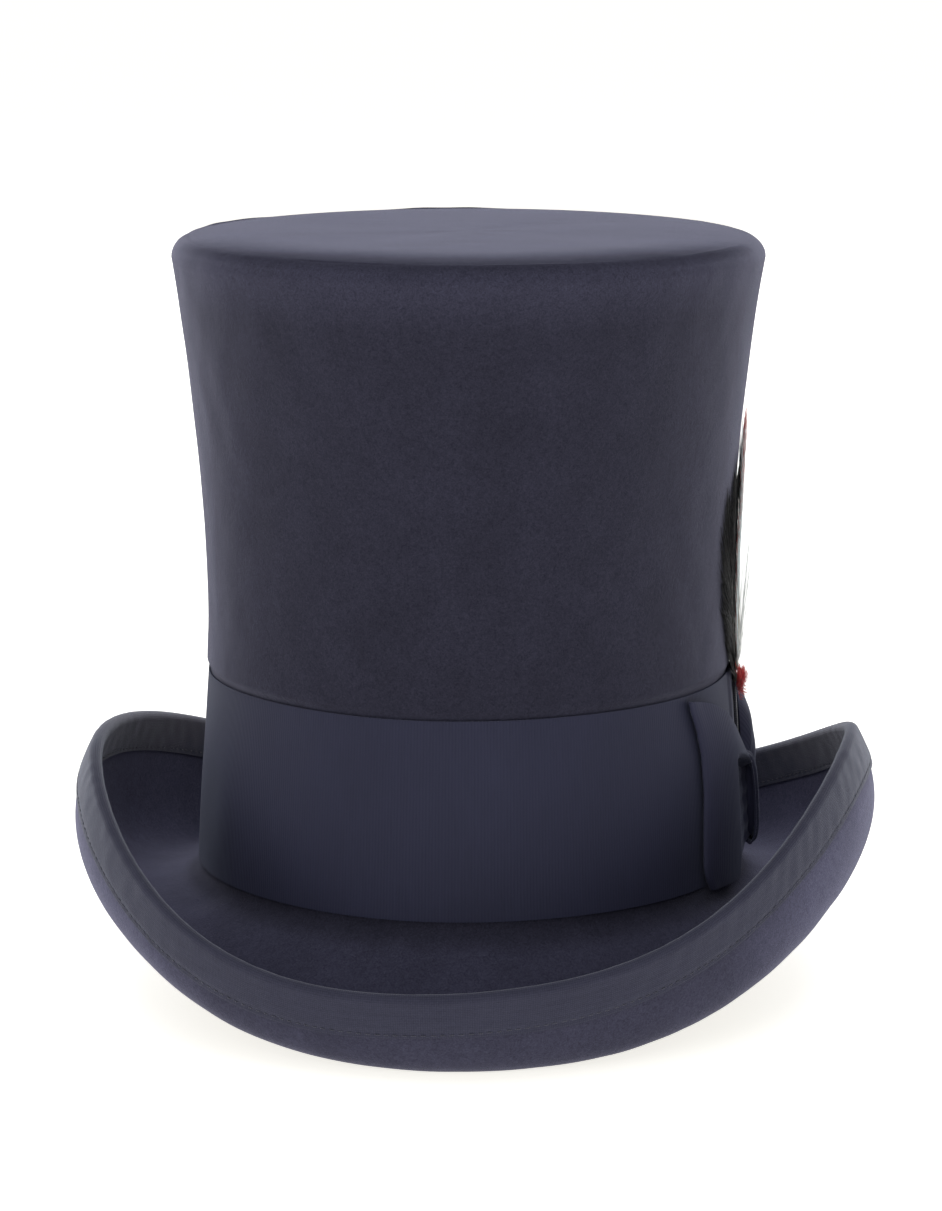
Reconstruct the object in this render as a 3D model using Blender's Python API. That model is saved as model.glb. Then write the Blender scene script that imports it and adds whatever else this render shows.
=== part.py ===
"""Tall felt top hat: curled and bound brim, wide ribbon band, side bow and a feather spray.

Metres, +Z up. The front of the hat faces -Y and the bow is on the wearer's left, at +X.
The origin is on the surface the hat stands on, below the middle of the crown.

Every ring-shaped piece follows one head oval. A section point is an offset, measured square
to that oval, and a height, so nested pieces keep an even gap all the way round. Pieces on
the left side are laid out by the distance round the oval from +X, negative to the front.
"""

from math import cos, pi, radians, sin, tan

import bmesh
import bpy
import numpy as np

# Head oval, taken at the outside of the felt where the crown is narrowest.
HEAD_HALF_WIDTH = 0.086
HEAD_HALF_LENGTH = 0.104
STATIONS = 40
GAP = 0.0003

# Crown, in felt of one thickness.
FELT = 0.0026
TIP_HEIGHT = 0.243
TIP_CORNER = 0.004
WAIST_HEIGHT = 0.118
FLARE = 0.0124
FLARE_POWER = 1.75
FOOT_HEIGHT = 0.0370
FOOT_OFFSET = 0.0029

# Ribbon band, sunk a little into the felt, which bulges just above it.
BAND_BOTTOM = 0.0378
BAND_TOP = 0.1005
BAND_THICKNESS = 0.0010
BAND_SEAT = -0.0009
BULGE_START = 0.1010
BULGE_END = 0.1045
BULGE_OFFSET = 0.0002

# Brim: one curve per direction, from its root at the crown to the top of its curled rim.
BRIM_ROOT = (0.0055, 0.0321)
RIM_REACH_FRONT = 0.0503
RIM_REACH_BACK = 0.0503
RIM_REACH_SIDES = 0.0368
RIM_REACH_TWIST = 0.0030
RIM_HEIGHT_FRONT = 0.0292
RIM_HEIGHT_BACK = 0.0309
RIM_HEIGHT_SIDES = 0.0788
RIM_LIFT_LEFT = 0.0004
RIM_TWIST = 0.0059
RIM_WAVE = 0.0020
RIM_WAVE_TURN = radians(58.6)
RIM_RISE_POWER_FRONT = 3.0
RIM_RISE_POWER_BACK = 1.56
REACH_POWER = 1.18
ROOT_SLOPE_ENDS = radians(-50.2)
ROOT_SLOPE_SIDES = radians(-24.6)
ROOT_PULL_ENDS = 0.0486
ROOT_PULL_SIDES = 0.0236
RIM_LEAN_ENDS = radians(77.0)
RIM_LEAN_SIDES = radians(120.2)
RIM_LEAN_LEFT = radians(1.4)
RIM_LEAN_TWIST = radians(2.2)
RIM_PULL_ENDS = 0.0372
RIM_PULL_SIDES = 0.0417
RIM_PULL_LEFT = 0.0010
RIM_PULL_TWIST = 0.0052

# Binding folded over the rim, with the brim wire in its fold.
BINDING_WIDTH = 0.0136
BINDING_THICKNESS = 0.0008
WIRE_RADIUS = 0.0008
WIRE_RUN = 0.0028
WIRE_SIDES = 6
JOINER_RADIUS = 0.0011
FELT_EDGE_RUN = 0.0043

# Inside: sweatband on its reed, satin lining, blank patch and tag.
LEATHER = 0.0012
SWEATBAND_BOTTOM = 0.0352
SWEATBAND_TOP = 0.0800
REED_RADIUS = 0.0010
REED_HEIGHT = 0.0334
LINING = 0.0005
LINING_BOTTOM = 0.0600
LINING_TOP = 0.2383
LINING_TIP_HEIGHT = 0.2390
PATCH_HALF_WIDTH = 0.024
PATCH_HALF_LENGTH = 0.031
PATCH_CORNERS = 24

# Side bow, as distances round the oval and heights above the band's face.
KNOT_HALF_WIDTH = 0.0060
KNOT_BOTTOM = 0.0415
KNOT_TOP = 0.0706
KNOT_STANDOFF = 0.0046
KNOT_THICKNESS = 0.0022
LOOP_STANDOFF = 0.0005

# Feather spray: it draws up and outwards, along the flare of the crown.
DRAW_TILT = radians(8.5)
QUILL_BOTTOM = 0.0660
QUILL_TOP = 0.0970
QUILL_OFFSET = 0.0028
QUILL_THICKNESS = 0.0022
QUILL_HALF_WIDTH = 0.0035
VANE_BOTTOM = 0.0974
VANE_CLEARANCE = 0.0015
VANE_THICKNESS = 0.0008
VANE_STEP = 0.0012
FILAMENT_RADIUS = 0.0004
FILAMENT_LAYER = 3.4
FILAMENT_SWING = 0.002
# Where each barb starts round the oval, how far it leans, and the height of its top.
FILAMENTS = [(-0.005, -0.008, 0.150), (0.000, 0.002, 0.158), (0.005, 0.009, 0.146)]

BACK = pi / 2


def clear_scene():
    for item in list(bpy.data.objects):
        bpy.data.objects.remove(item, do_unlink=True)


def material(name, colour, roughness, metallic=0.0):
    made = bpy.data.materials.new(name)
    made.use_nodes = True
    shader = made.node_tree.nodes["Principled BSDF"]
    shader.inputs["Base Color"].default_value = (*colour, 1.0)
    shader.inputs["Roughness"].default_value = roughness
    shader.inputs["Metallic"].default_value = metallic
    return made


def blend(low, high, share):
    return low + (high - low) * share


# ---------------------------------------------------------------- the head oval

def oval_point(angle, offset, height):
    """A point in space from its direction round the oval, its offset and its height."""
    out = np.array([cos(angle) / HEAD_HALF_WIDTH, sin(angle) / HEAD_HALF_LENGTH])
    out /= np.linalg.norm(out)
    x = HEAD_HALF_WIDTH * cos(angle) + out[0] * offset
    y = HEAD_HALF_LENGTH * sin(angle) + out[1] * offset
    return (x, y, height)


def ring_angles():
    return [2.0 * pi * index / STATIONS for index in range(STATIONS)]


def angle_at(distance, start=0.0):
    """The direction that lies this far round the oval from a starting direction."""
    angles = start + np.linspace(-1.2, 1.2, 481)
    steps = np.hypot(HEAD_HALF_WIDTH * np.sin(angles), HEAD_HALF_LENGTH * np.cos(angles))
    travel = np.concatenate([[0.0], np.cumsum((steps[1:] + steps[:-1]) / 2 * np.diff(angles))])
    travel -= np.interp(start, angles, travel)
    return float(np.interp(distance, travel, angles))


# ---------------------------------------------------------------- meshes

def make_object(name, bm, finish, sharp_degrees=40.0):
    bmesh.ops.recalc_face_normals(bm, faces=bm.faces)
    mesh = bpy.data.meshes.new(name)
    bm.to_mesh(mesh)
    bm.free()
    mesh.shade_smooth()
    mesh.set_sharp_from_angle(angle=radians(sharp_degrees))
    mesh.materials.append(finish)
    made = bpy.data.objects.new(name, mesh)
    bpy.context.scene.collection.objects.link(made)
    return made


def add_sweep(bm, loops, closed):
    """Join closed point loops into a tube: round into itself, or with a face at each end."""
    rings = [[bm.verts.new(point) for point in loop] for loop in loops]
    count = len(rings)
    for index in range(count if closed else count - 1):
        here = rings[index]
        there = rings[(index + 1) % count]
        for side in range(len(here)):
            following = (side + 1) % len(here)
            bm.faces.new((here[side], here[following], there[following], there[side]))
    if not closed:
        bm.faces.new(rings[0])
        bm.faces.new(list(reversed(rings[-1])))


def ring_piece(name, section, finish):
    """A piece that runs all the way round, from a function giving its section per direction."""
    bm = bmesh.new()
    loops = [[oval_point(angle, *point) for point in section(angle)] for angle in ring_angles()]
    add_sweep(bm, loops, closed=True)
    return make_object(name, bm, finish)


def side_piece(name, sections, finish, start=0.0, sharp_degrees=40.0):
    """A piece along part of the oval, from (distance, closed section) pairs."""
    bm = bmesh.new()
    loops = []
    for distance, section in sections:
        angle = angle_at(distance, start)
        loops.append([oval_point(angle, *point) for point in section])
    add_sweep(bm, loops, closed=False)
    return make_object(name, bm, finish, sharp_degrees)


def box_section(inner, outer, low, high):
    return [(inner, low), (outer, low), (outer, high), (inner, high)]


# ---------------------------------------------------------------- crown and brim

def wall_offset(height):
    """Outside of the crown's felt: a foot, the ribbon's seat, a small bulge and the flare."""
    if height >= WAIST_HEIGHT:
        climb = (height - WAIST_HEIGHT) / (TIP_HEIGHT - WAIST_HEIGHT)
        return FLARE * climb ** FLARE_POWER
    if height <= BULGE_START:
        return blend(FOOT_OFFSET, BAND_SEAT, (height - FOOT_HEIGHT) / (BULGE_START - FOOT_HEIGHT))
    if height <= BULGE_END:
        return blend(BAND_SEAT, BULGE_OFFSET, (height - BULGE_START) / (BULGE_END - BULGE_START))
    return blend(BULGE_OFFSET, 0.0, (height - BULGE_END) / (WAIST_HEIGHT - BULGE_END))


def wall_heights(low, high):
    """The heights at which every piece of the crown's wall has a ring of points."""
    flare = list(np.linspace(WAIST_HEIGHT, TIP_HEIGHT - TIP_CORNER, 6))
    knots = [FOOT_HEIGHT, BULGE_START, BULGE_END] + flare
    return [low] + [knot for knot in knots if low < knot < high] + [high]


def brim_curve(angle, count=49):
    """The upper face of the brim from its root to its rim, with the run left to the rim."""
    side = abs(cos(angle))
    at_front = sin(angle) < 0.0
    rise = side ** (RIM_RISE_POWER_FRONT if at_front else RIM_RISE_POWER_BACK)
    end_height = RIM_HEIGHT_FRONT if at_front else RIM_HEIGHT_BACK
    end_reach = RIM_REACH_FRONT if at_front else RIM_REACH_BACK
    turn = side ** 2
    left = cos(angle)
    twist = sin(2.0 * angle)
    slope = blend(ROOT_SLOPE_ENDS, ROOT_SLOPE_SIDES, turn)
    lean = blend(RIM_LEAN_ENDS, RIM_LEAN_SIDES, turn) + RIM_LEAN_LEFT * left + RIM_LEAN_TWIST * twist
    root_pull = blend(ROOT_PULL_ENDS, ROOT_PULL_SIDES, turn)
    rim_pull = blend(RIM_PULL_ENDS, RIM_PULL_SIDES, turn) + RIM_PULL_LEFT * left - RIM_PULL_TWIST * twist
    root = np.array(BRIM_ROOT)
    reach = blend(end_reach, RIM_REACH_SIDES, side ** REACH_POWER)
    height = blend(end_height, RIM_HEIGHT_SIDES, rise)
    rim = np.array([
        reach + RIM_REACH_TWIST * twist,
        height + RIM_LIFT_LEFT * left - RIM_TWIST * twist + RIM_WAVE * cos(3.0 * angle + RIM_WAVE_TURN),
    ])
    root_handle = root + root_pull * np.array([cos(slope), sin(slope)])
    rim_handle = rim - rim_pull * np.array([cos(lean), sin(lean)])
    share = np.linspace(0.0, 1.0, count)[:, None]
    rest = 1.0 - share
    points = rest ** 3 * root + 3 * rest ** 2 * share * root_handle
    points = points + 3 * rest * share ** 2 * rim_handle + share ** 3 * rim
    lengths = np.concatenate([[0.0], np.cumsum(np.linalg.norm(np.diff(points, axis=0), axis=1))])
    return points, lengths[-1] - lengths


def brim_point(angle, run, depth):
    """A point of the brim: the run back from the rim, and the depth below the upper face."""
    points, runs = brim_curve(angle)
    directions = np.gradient(points, axis=0)
    directions /= np.linalg.norm(directions, axis=1)[:, None]
    offset = np.interp(run, runs[::-1], points[::-1, 0])
    height = np.interp(run, runs[::-1], points[::-1, 1])
    along_offset = np.interp(run, runs[::-1], directions[::-1, 0])
    along_height = np.interp(run, runs[::-1], directions[::-1, 1])
    return (float(offset + along_height * depth), float(height - along_offset * depth))


def felt_upper(angle):
    """The outside of the felt, from the flat of the tip down the crown and out to the rim."""
    corner_offset = wall_offset(TIP_HEIGHT - TIP_CORNER) - TIP_CORNER
    corner_height = TIP_HEIGHT - TIP_CORNER
    line = []
    for step in range(3):
        turn = pi / 2 * (1.0 - step / 3)
        line.append((corner_offset + TIP_CORNER * cos(turn), corner_height + TIP_CORNER * sin(turn)))
    for height in reversed(wall_heights(FOOT_HEIGHT, corner_height)):
        line.append((wall_offset(height), height))
    slope = blend(ROOT_SLOPE_ENDS, ROOT_SLOPE_SIDES, cos(angle) ** 2)
    root_offset, root_height = BRIM_ROOT
    bend = (FOOT_OFFSET, root_height - (root_offset - FOOT_OFFSET) * tan(slope))
    for share in (0.4, 0.75):
        rest = 1.0 - share
        line.append(tuple(
            rest ** 2 * start + 2 * rest * share * middle + share ** 2 * end
            for start, middle, end in zip((FOOT_OFFSET, FOOT_HEIGHT), bend, BRIM_ROOT)
        ))
    _, runs = brim_curve(angle)
    for run in np.linspace(runs[0], FELT_EDGE_RUN, 13):
        line.append(brim_point(angle, run, 0.0))
    return line


def felt_section(angle):
    """Both faces of the felt, as one line from the outer tip round the rim to the inner tip."""
    outer = np.array(felt_upper(angle))
    along = np.gradient(outer, axis=0)
    along[0] = (1.0, 0.0)
    along /= np.linalg.norm(along, axis=1)[:, None]
    inner = outer + FELT * np.stack([along[:, 1], -along[:, 0]], axis=1)
    return [tuple(point) for point in outer] + [tuple(point) for point in inner[::-1]]


def build_felt_body(finish):
    bm = bmesh.new()
    rows = []
    for angle in ring_angles():
        rows.append([bm.verts.new(oval_point(angle, *point)) for point in felt_section(angle)])
    for index, here in enumerate(rows):
        there = rows[(index + 1) % STATIONS]
        for step in range(len(here) - 1):
            bm.faces.new((here[step], here[step + 1], there[step + 1], there[step]))
    bm.faces.new([row[0] for row in rows])
    bm.faces.new([row[-1] for row in reversed(rows)])
    make_object("felt_body", bm, finish)


# ---------------------------------------------------------------- rim

def binding_section(angle):
    cover = GAP + BINDING_THICKNESS
    nose = 0.0012
    runs = [blend(BINDING_WIDTH, nose, step / 4) for step in range(5)]
    outside = [(run, -cover) for run in runs] + [(0.0, 0.0), (0.0, FELT)]
    outside += [(run, FELT + cover) for run in reversed(runs)]
    inside = [(run, FELT + GAP) for run in runs] + [(run, -GAP) for run in reversed(runs)]
    points = [brim_point(angle, run, depth) for run, depth in outside]
    return points + [brim_point(angle, run, depth) for run, depth in inside]


def rod_section(angle, radius):
    """A round section in the fold of the binding."""
    turns = [2.0 * pi * side / WIRE_SIDES for side in range(WIRE_SIDES)]
    return [
        brim_point(angle, WIRE_RUN + radius * cos(turn), FELT / 2 + radius * sin(turn))
        for turn in turns
    ]


def build_rim(binding, steel, brass):
    ring_piece("brim_binding", binding_section, binding)
    angles = ring_angles()
    back = STATIONS // 4
    around = [angles[(back + step) % STATIONS] for step in range(1, STATIONS)]
    bm = bmesh.new()
    wire = [[oval_point(a, *point) for point in rod_section(a, WIRE_RADIUS)] for a in around]
    add_sweep(bm, wire, closed=False)
    make_object("brim_wire", bm, steel)
    clearance = radians(0.25)
    spread = 2.0 * pi / STATIONS - clearance
    bm = bmesh.new()
    joiner = [
        [oval_point(a, *point) for point in rod_section(a, JOINER_RADIUS)]
        for a in (BACK - spread, BACK, BACK + spread)
    ]
    add_sweep(bm, joiner, closed=False)
    make_object("wire_joiner", bm, brass)


# ---------------------------------------------------------------- ribbon band and bow

def band_face(height):
    return wall_offset(height) + GAP + BAND_THICKNESS


def band_section(_angle):
    return [
        (wall_offset(BAND_BOTTOM) + GAP, BAND_BOTTOM),
        (band_face(BAND_BOTTOM), BAND_BOTTOM),
        (band_face(BAND_TOP), BAND_TOP),
        (wall_offset(BAND_TOP) + GAP, BAND_TOP),
    ]


def bow_section(inner, outer, low, high):
    """A flattened, round-edged section that stands off the band's face."""
    edge = (outer - inner) * 0.4
    return [
        (band_face(low) + inner, low),
        (band_face(low) + outer - edge, low),
        (band_face(low + edge) + outer, low + edge),
        (band_face(high - edge) + outer, high - edge),
        (band_face(high) + outer - edge, high),
        (band_face(high) + inner, high),
    ]


def build_bow(finish):
    knot = bow_section(KNOT_STANDOFF, KNOT_STANDOFF + KNOT_THICKNESS, KNOT_BOTTOM, KNOT_TOP)
    side_piece("bow_knot", [(-KNOT_HALF_WIDTH, knot), (0.0, knot), (KNOT_HALF_WIDTH, knot)], finish)
    # Distance from the knot's middle, standoff, thickness, and the lowest and highest point.
    shape = [
        (KNOT_HALF_WIDTH + GAP, KNOT_STANDOFF, 0.0018, 0.0425, 0.0696),
        (0.0120, 0.0034, 0.0026, 0.0405, 0.0740),
        (0.0190, 0.0016, 0.0040, 0.0388, 0.0785),
        (0.0270, LOOP_STANDOFF, 0.0048, 0.0376, 0.0830),
        (0.0370, LOOP_STANDOFF, 0.0046, 0.0370, 0.0890),
        (0.0480, LOOP_STANDOFF, 0.0040, 0.0368, 0.0955),
        (0.0580, LOOP_STANDOFF, 0.0026, 0.0368, 0.0994),
        (0.0630, LOOP_STANDOFF, 0.0012, 0.0372, 0.0994),
    ]
    for name, side in (("bow_front_loop", -1.0), ("bow_rear_loop", 1.0)):
        sections = [
            (side * distance, bow_section(standoff, standoff + thickness, low, high))
            for distance, standoff, thickness, low, high in shape
        ]
        side_piece(name, sections, finish)


# ---------------------------------------------------------------- inside of the crown

def lining_face(height):
    return wall_offset(height) - FELT - GAP


def sweatband_face(height):
    return lining_face(height) - LINING - GAP


def sheet_section(face, thickness, low, high):
    """A thin upright sheet whose outer side follows a face."""
    heights = wall_heights(low, high)
    outer = [(face(height), height) for height in heights]
    inner = [(face(height) - thickness, height) for height in reversed(heights)]
    return outer + inner


def reed_section(_angle):
    centre = sweatband_face(REED_HEIGHT) - LEATHER / 2
    turns = [2.0 * pi * side / WIRE_SIDES for side in range(WIRE_SIDES)]
    return [(centre + REED_RADIUS * cos(turn), REED_HEIGHT + REED_RADIUS * sin(turn)) for turn in turns]


def disc(name, outline, low, high, finish):
    """A flat plate between two heights, with its outline given as X, Y points."""
    bm = bmesh.new()
    add_sweep(bm, [[(x, y, z) for x, y in outline] for z in (low, high)], closed=False)
    make_object(name, bm, finish)


def build_inside(leather, reed, satin, patch_cloth, tag_cloth, ribbon):
    ring_piece(
        "sweatband",
        lambda _angle: sheet_section(sweatband_face, LEATHER, SWEATBAND_BOTTOM, SWEATBAND_TOP),
        leather,
    )
    ring_piece("sweatband_reed", reed_section, reed)
    ring_piece(
        "lining_side",
        lambda _angle: sheet_section(lining_face, LINING, LINING_BOTTOM, LINING_TOP),
        satin,
    )
    reach = lining_face(LINING_TIP_HEIGHT) - GAP
    outline = [oval_point(angle, reach, 0.0)[:2] for angle in ring_angles()]
    disc("lining_tip", outline, LINING_TIP_HEIGHT, LINING_TIP_HEIGHT + LINING, satin)
    turns = [2.0 * pi * corner / PATCH_CORNERS for corner in range(PATCH_CORNERS)]
    outline = [(PATCH_HALF_WIDTH * cos(turn), PATCH_HALF_LENGTH * sin(turn)) for turn in turns]
    patch_top = LINING_TIP_HEIGHT - GAP
    disc("lining_patch", outline, patch_top - LINING, patch_top, patch_cloth)

    # A small ribbon bow marks the back of the sweatband, and a blank tag is sewn beside it.
    def on_sweatband(thickness, low, high):
        low_face = sweatband_face(low) - LEATHER - 2 * GAP
        high_face = sweatband_face(high) - LEATHER - 2 * GAP
        return [
            (low_face - thickness, low), (low_face, low),
            (high_face, high), (high_face - thickness, high),
        ]

    middle = 0.0600
    bow = []
    for distance, half_height, thickness in (
        (-0.0120, 0.0050, 0.0010), (-0.0050, 0.0040, 0.0022), (-0.0018, 0.0026, 0.0022),
        (0.0018, 0.0026, 0.0022), (0.0050, 0.0040, 0.0022), (0.0120, 0.0050, 0.0010),
    ):
        bow.append((distance, on_sweatband(thickness, middle - half_height, middle + half_height)))
    side_piece("sweatband_bow", bow, ribbon, start=BACK)
    tag = [(distance, on_sweatband(LINING, 0.0450, 0.0600)) for distance in (0.022, 0.029, 0.036)]
    side_piece("size_tag", tag, tag_cloth, start=BACK)


# ---------------------------------------------------------------- feather spray

def vane(name, outline, layer, finish):
    """One feather: rows of (height, front edge, rear edge), laid against the crown's side."""
    bm = bmesh.new()
    columns = 5
    inner = VANE_CLEARANCE + layer * VANE_STEP
    loops = []
    for height, front, rear in outline:
        face = max(wall_offset(height), 0.0) + inner
        edge = np.linspace(front, rear, columns)
        near = [oval_point(angle_at(place), face, height) for place in edge]
        far = [oval_point(angle_at(place), face + VANE_THICKNESS, height) for place in edge[::-1]]
        loops.append(near + far)
    add_sweep(bm, loops, closed=False)
    make_object(name, bm, finish, sharp_degrees=60.0)


def feather_outline(top, lean, front, rear, rows=9):
    """A feather's blade: narrow at the quill, full at two fifths of its length, then a tip."""
    outline = []
    for row in range(rows):
        share = row / (rows - 1)
        height = blend(VANE_BOTTOM, top, share)
        fullness = 0.08 + 0.92 * sin(pi * min(share, 0.985) ** 0.75)
        middle = lean * share ** 1.4
        outline.append((height, middle - front * fullness, middle + rear * fullness))
    return outline


def build_spray(black, pale, red, fluff, white, thread):
    wrap = box_section(QUILL_OFFSET, QUILL_OFFSET + QUILL_THICKNESS, QUILL_BOTTOM, QUILL_TOP)
    side_piece("quill_wrap", [(-QUILL_HALF_WIDTH, wrap), (QUILL_HALF_WIDTH, wrap)], thread)
    vane("feather_black", feather_outline(0.174, -0.014, 0.028, 0.020), 0, black)
    vane("feather_pale", feather_outline(0.162, 0.003, 0.011, 0.012), 1, pale)
    vane("feather_red", feather_outline(0.190, 0.004, 0.006, 0.006), 2, red)
    tuft = [
        (VANE_BOTTOM, -0.0030, 0.0030),
        (VANE_BOTTOM + 0.004, -0.0060, 0.0060),
        (VANE_BOTTOM + 0.009, -0.0050, 0.0060),
        (VANE_BOTTOM + 0.012, -0.0020, 0.0030),
    ]
    vane("red_fluff", tuft, 3, fluff)
    build_filaments(white)


def build_filaments(finish):
    """Long stripped barbs, each a thin rod, rise in front of the other feathers."""
    start = VANE_BOTTOM + 0.014
    for index, (place, spread, top) in enumerate(FILAMENTS, start=1):
        loops = []
        for step in range(5):
            share = step / 4
            height = blend(start, top, share)
            stand = VANE_CLEARANCE + FILAMENT_LAYER * VANE_STEP + FILAMENT_SWING * share
            centre = max(wall_offset(height), 0.0) + stand
            middle = place + spread * share
            loops.append([
                oval_point(
                    angle_at(middle + FILAMENT_RADIUS * cos(turn)),
                    centre + FILAMENT_RADIUS * sin(turn),
                    height,
                )
                for turn in (0.0, pi / 2, pi, 3 * pi / 2)
            ])
        bm = bmesh.new()
        add_sweep(bm, loops, closed=False)
        make_object(f"filament_{index}", bm, finish)


def set_draw_origin():
    """The spray's pieces hang from an empty on the line along which the spray draws out."""
    start = oval_point(0.0, QUILL_OFFSET + QUILL_THICKNESS / 2, QUILL_BOTTOM)
    frame = bpy.data.objects.new("draw_line", None)
    bpy.context.scene.collection.objects.link(frame)
    frame.location = start
    frame.rotation_euler = (0.0, DRAW_TILT, 0.0)
    bpy.context.view_layer.update()
    names = ["quill_wrap", "feather_black", "feather_pale", "feather_red", "red_fluff"]
    names += [f"filament_{index}" for index in range(1, len(FILAMENTS) + 1)]
    for name in names:
        piece = bpy.data.objects[name]
        piece.parent = frame
        piece.matrix_parent_inverse = frame.matrix_world.inverted()


def build_hat():
    clear_scene()
    navy_felt = material("navy_felt", (0.034, 0.035, 0.055), 0.95)
    navy_binding = material("navy_binding", (0.040, 0.041, 0.060), 0.9)
    navy_ribbon = material("navy_ribbon", (0.030, 0.033, 0.055), 0.7)
    steel = material("spring_steel", (0.55, 0.55, 0.56), 0.35, 1.0)
    brass = material("brass", (0.70, 0.52, 0.25), 0.35, 1.0)
    leather = material("dark_leather", (0.030, 0.025, 0.024), 0.5)
    reed = material("reed_plastic", (0.55, 0.52, 0.45), 0.4)
    satin = material("navy_satin", (0.025, 0.028, 0.060), 0.35)
    patch_cloth = material("patch_satin", (0.060, 0.062, 0.100), 0.4)
    tag_cloth = material("tag_cloth", (0.75, 0.74, 0.70), 0.8)
    black = material("black_feather", (0.012, 0.012, 0.014), 0.6)
    pale = material("pale_feather", (0.70, 0.80, 0.85), 0.7)
    red = material("red_feather", (0.60, 0.03, 0.04), 0.7)
    fluff = material("red_down", (0.70, 0.06, 0.06), 0.9)
    white = material("white_barb", (0.85, 0.85, 0.84), 0.6)
    thread = material("black_thread", (0.02, 0.02, 0.02), 0.8)

    build_felt_body(navy_felt)
    build_rim(navy_binding, steel, brass)
    ring_piece("hat_band", band_section, navy_ribbon)
    build_bow(navy_ribbon)
    build_inside(leather, reed, satin, patch_cloth, tag_cloth, navy_ribbon)
    build_spray(black, pale, red, fluff, white, thread)
    set_draw_origin()


build_hat()
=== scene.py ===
"""Looks of a tall navy felt top hat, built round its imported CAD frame.

Metres, +Z up, front of the hat towards -Y, bow on the wearer's left at +X. Every ring-shaped
piece follows one head oval: a section point is an offset, square to that oval, and a height.
Pieces on the left side are laid out by the distance round the oval from +X, negative to the
front, by how far they stand off the crown's wall, and by height.
"""

from math import cos, pi, radians, sin

import bmesh
import bpy
import numpy as np
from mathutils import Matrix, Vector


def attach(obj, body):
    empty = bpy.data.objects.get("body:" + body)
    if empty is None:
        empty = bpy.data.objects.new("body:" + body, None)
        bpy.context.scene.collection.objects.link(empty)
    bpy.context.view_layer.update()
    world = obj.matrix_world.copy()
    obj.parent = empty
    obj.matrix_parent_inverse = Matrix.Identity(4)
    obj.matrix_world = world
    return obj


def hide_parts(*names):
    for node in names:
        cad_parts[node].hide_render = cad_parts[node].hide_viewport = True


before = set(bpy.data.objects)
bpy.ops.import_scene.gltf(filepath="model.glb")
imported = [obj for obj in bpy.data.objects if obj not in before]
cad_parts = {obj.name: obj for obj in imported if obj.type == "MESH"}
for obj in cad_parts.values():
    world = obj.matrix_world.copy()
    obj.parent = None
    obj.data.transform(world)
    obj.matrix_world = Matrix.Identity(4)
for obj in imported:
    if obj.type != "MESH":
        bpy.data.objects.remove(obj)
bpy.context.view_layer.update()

# Head oval and crown.
HEAD_HALF_WIDTH = 0.086
HEAD_HALF_LENGTH = 0.104
GAP = 0.0003
FELT = 0.0026
TIP_HEIGHT = 0.2441
TIP_CORNER = 0.0062
TIP_EDGE_DROP = 0.0015
TIP_EDGE_SLOPE = 0.10
WAIST_HEIGHT = 0.118
FLARE = 0.0124
FLARE_POWER = 1.75
FOOT_HEIGHT = 0.0370
FOOT_OFFSET = 0.0029
TIP_HALF_WIDTH = 0.0985
TIP_HALF_LENGTH = 0.1155

# Ribbon band.
BAND_BOTTOM = 0.0378
BAND_TOP = 0.1005
BAND_SEAT = -0.0009
BULGE_START = 0.1006
BULGE_END = 0.1042
BULGE_OFFSET = 0.0003
RIBBON = 0.0006
RIBBON_WIDTH = 0.063
LAP = 0.016
RIB_PITCH = 0.0010
RIB_HEIGHT = 0.00004

# Brim.
BRIM_ROOT = (0.0055, 0.0321)
RIM_REACH_FRONT = 0.0503
RIM_REACH_BACK = 0.0525
RIM_REACH_SIDES = 0.0368
RIM_REACH_LEFT = 0.0022
RIM_REACH_TWIST = 0.0030
RIM_HEIGHT_FRONT = 0.0282
RIM_HEIGHT_BACK = 0.0299
RIM_HEIGHT_SIDES = 0.0778
RIM_LIFT_LEFT = 0.0004
RIM_TWIST = 0.0059
RIM_WAVE = 0.0020
RIM_WAVE_TURN = radians(58.6)
RIM_RISE_POWER_FRONT = 3.0
RIM_RISE_POWER_BACK = 1.56
REACH_POWER = 1.18
ROOT_SLOPE_ENDS = radians(-50.2)
ROOT_SLOPE_SIDES = radians(-24.6)
ROOT_PULL_ENDS = 0.0486
ROOT_PULL_SIDES = 0.0236
RIM_LEAN_ENDS = radians(77.0)
RIM_LEAN_SIDES = radians(120.2)
RIM_LEAN_LEFT = radians(1.4)
RIM_LEAN_TWIST = radians(2.2)
RIM_PULL_ENDS = 0.0372
RIM_PULL_SIDES = 0.0417
RIM_PULL_LEFT = 0.0010
RIM_PULL_TWIST = 0.0052
FELT_EDGE_RUN = 0.0043
BINDING_WIDTH = 0.0136
BINDING = 0.0007
STITCH_INSET = 0.0014
STITCH_PITCH = 0.0029
WIRE_RUN = 0.0028

# Inside of the crown.
LINING = 0.0005
LEATHER = 0.0012
SWEATBAND_BOTTOM = 0.0352
SWEATBAND_TOP = 0.0800
REED_HEIGHT = 0.0334
REED_RADIUS = 0.0010
LINING_BOTTOM = 0.0600
LINING_TOP = 0.2383
LINING_TIP_HEIGHT = 0.2390
PATCH_HALF_WIDTH = 0.024
PATCH_HALF_LENGTH = 0.031
PATCH_STITCHES = 88
SMALL_BOW_HEIGHT = 0.0600
BACK = pi / 2

# Quills of the feather spray.
QUILL_BOTTOM = 0.0600
QUILL_TOP = 0.0998
WRAP_BOTTOM = 0.0745
WRAP_TOP = 0.0948

LEVEL = np.array([1.0, 1.0, 0.0])
CLOTH_EDGE = 60.0
dice = np.random.RandomState(11)


# ---------------------------------------------------------------- head oval

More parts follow.
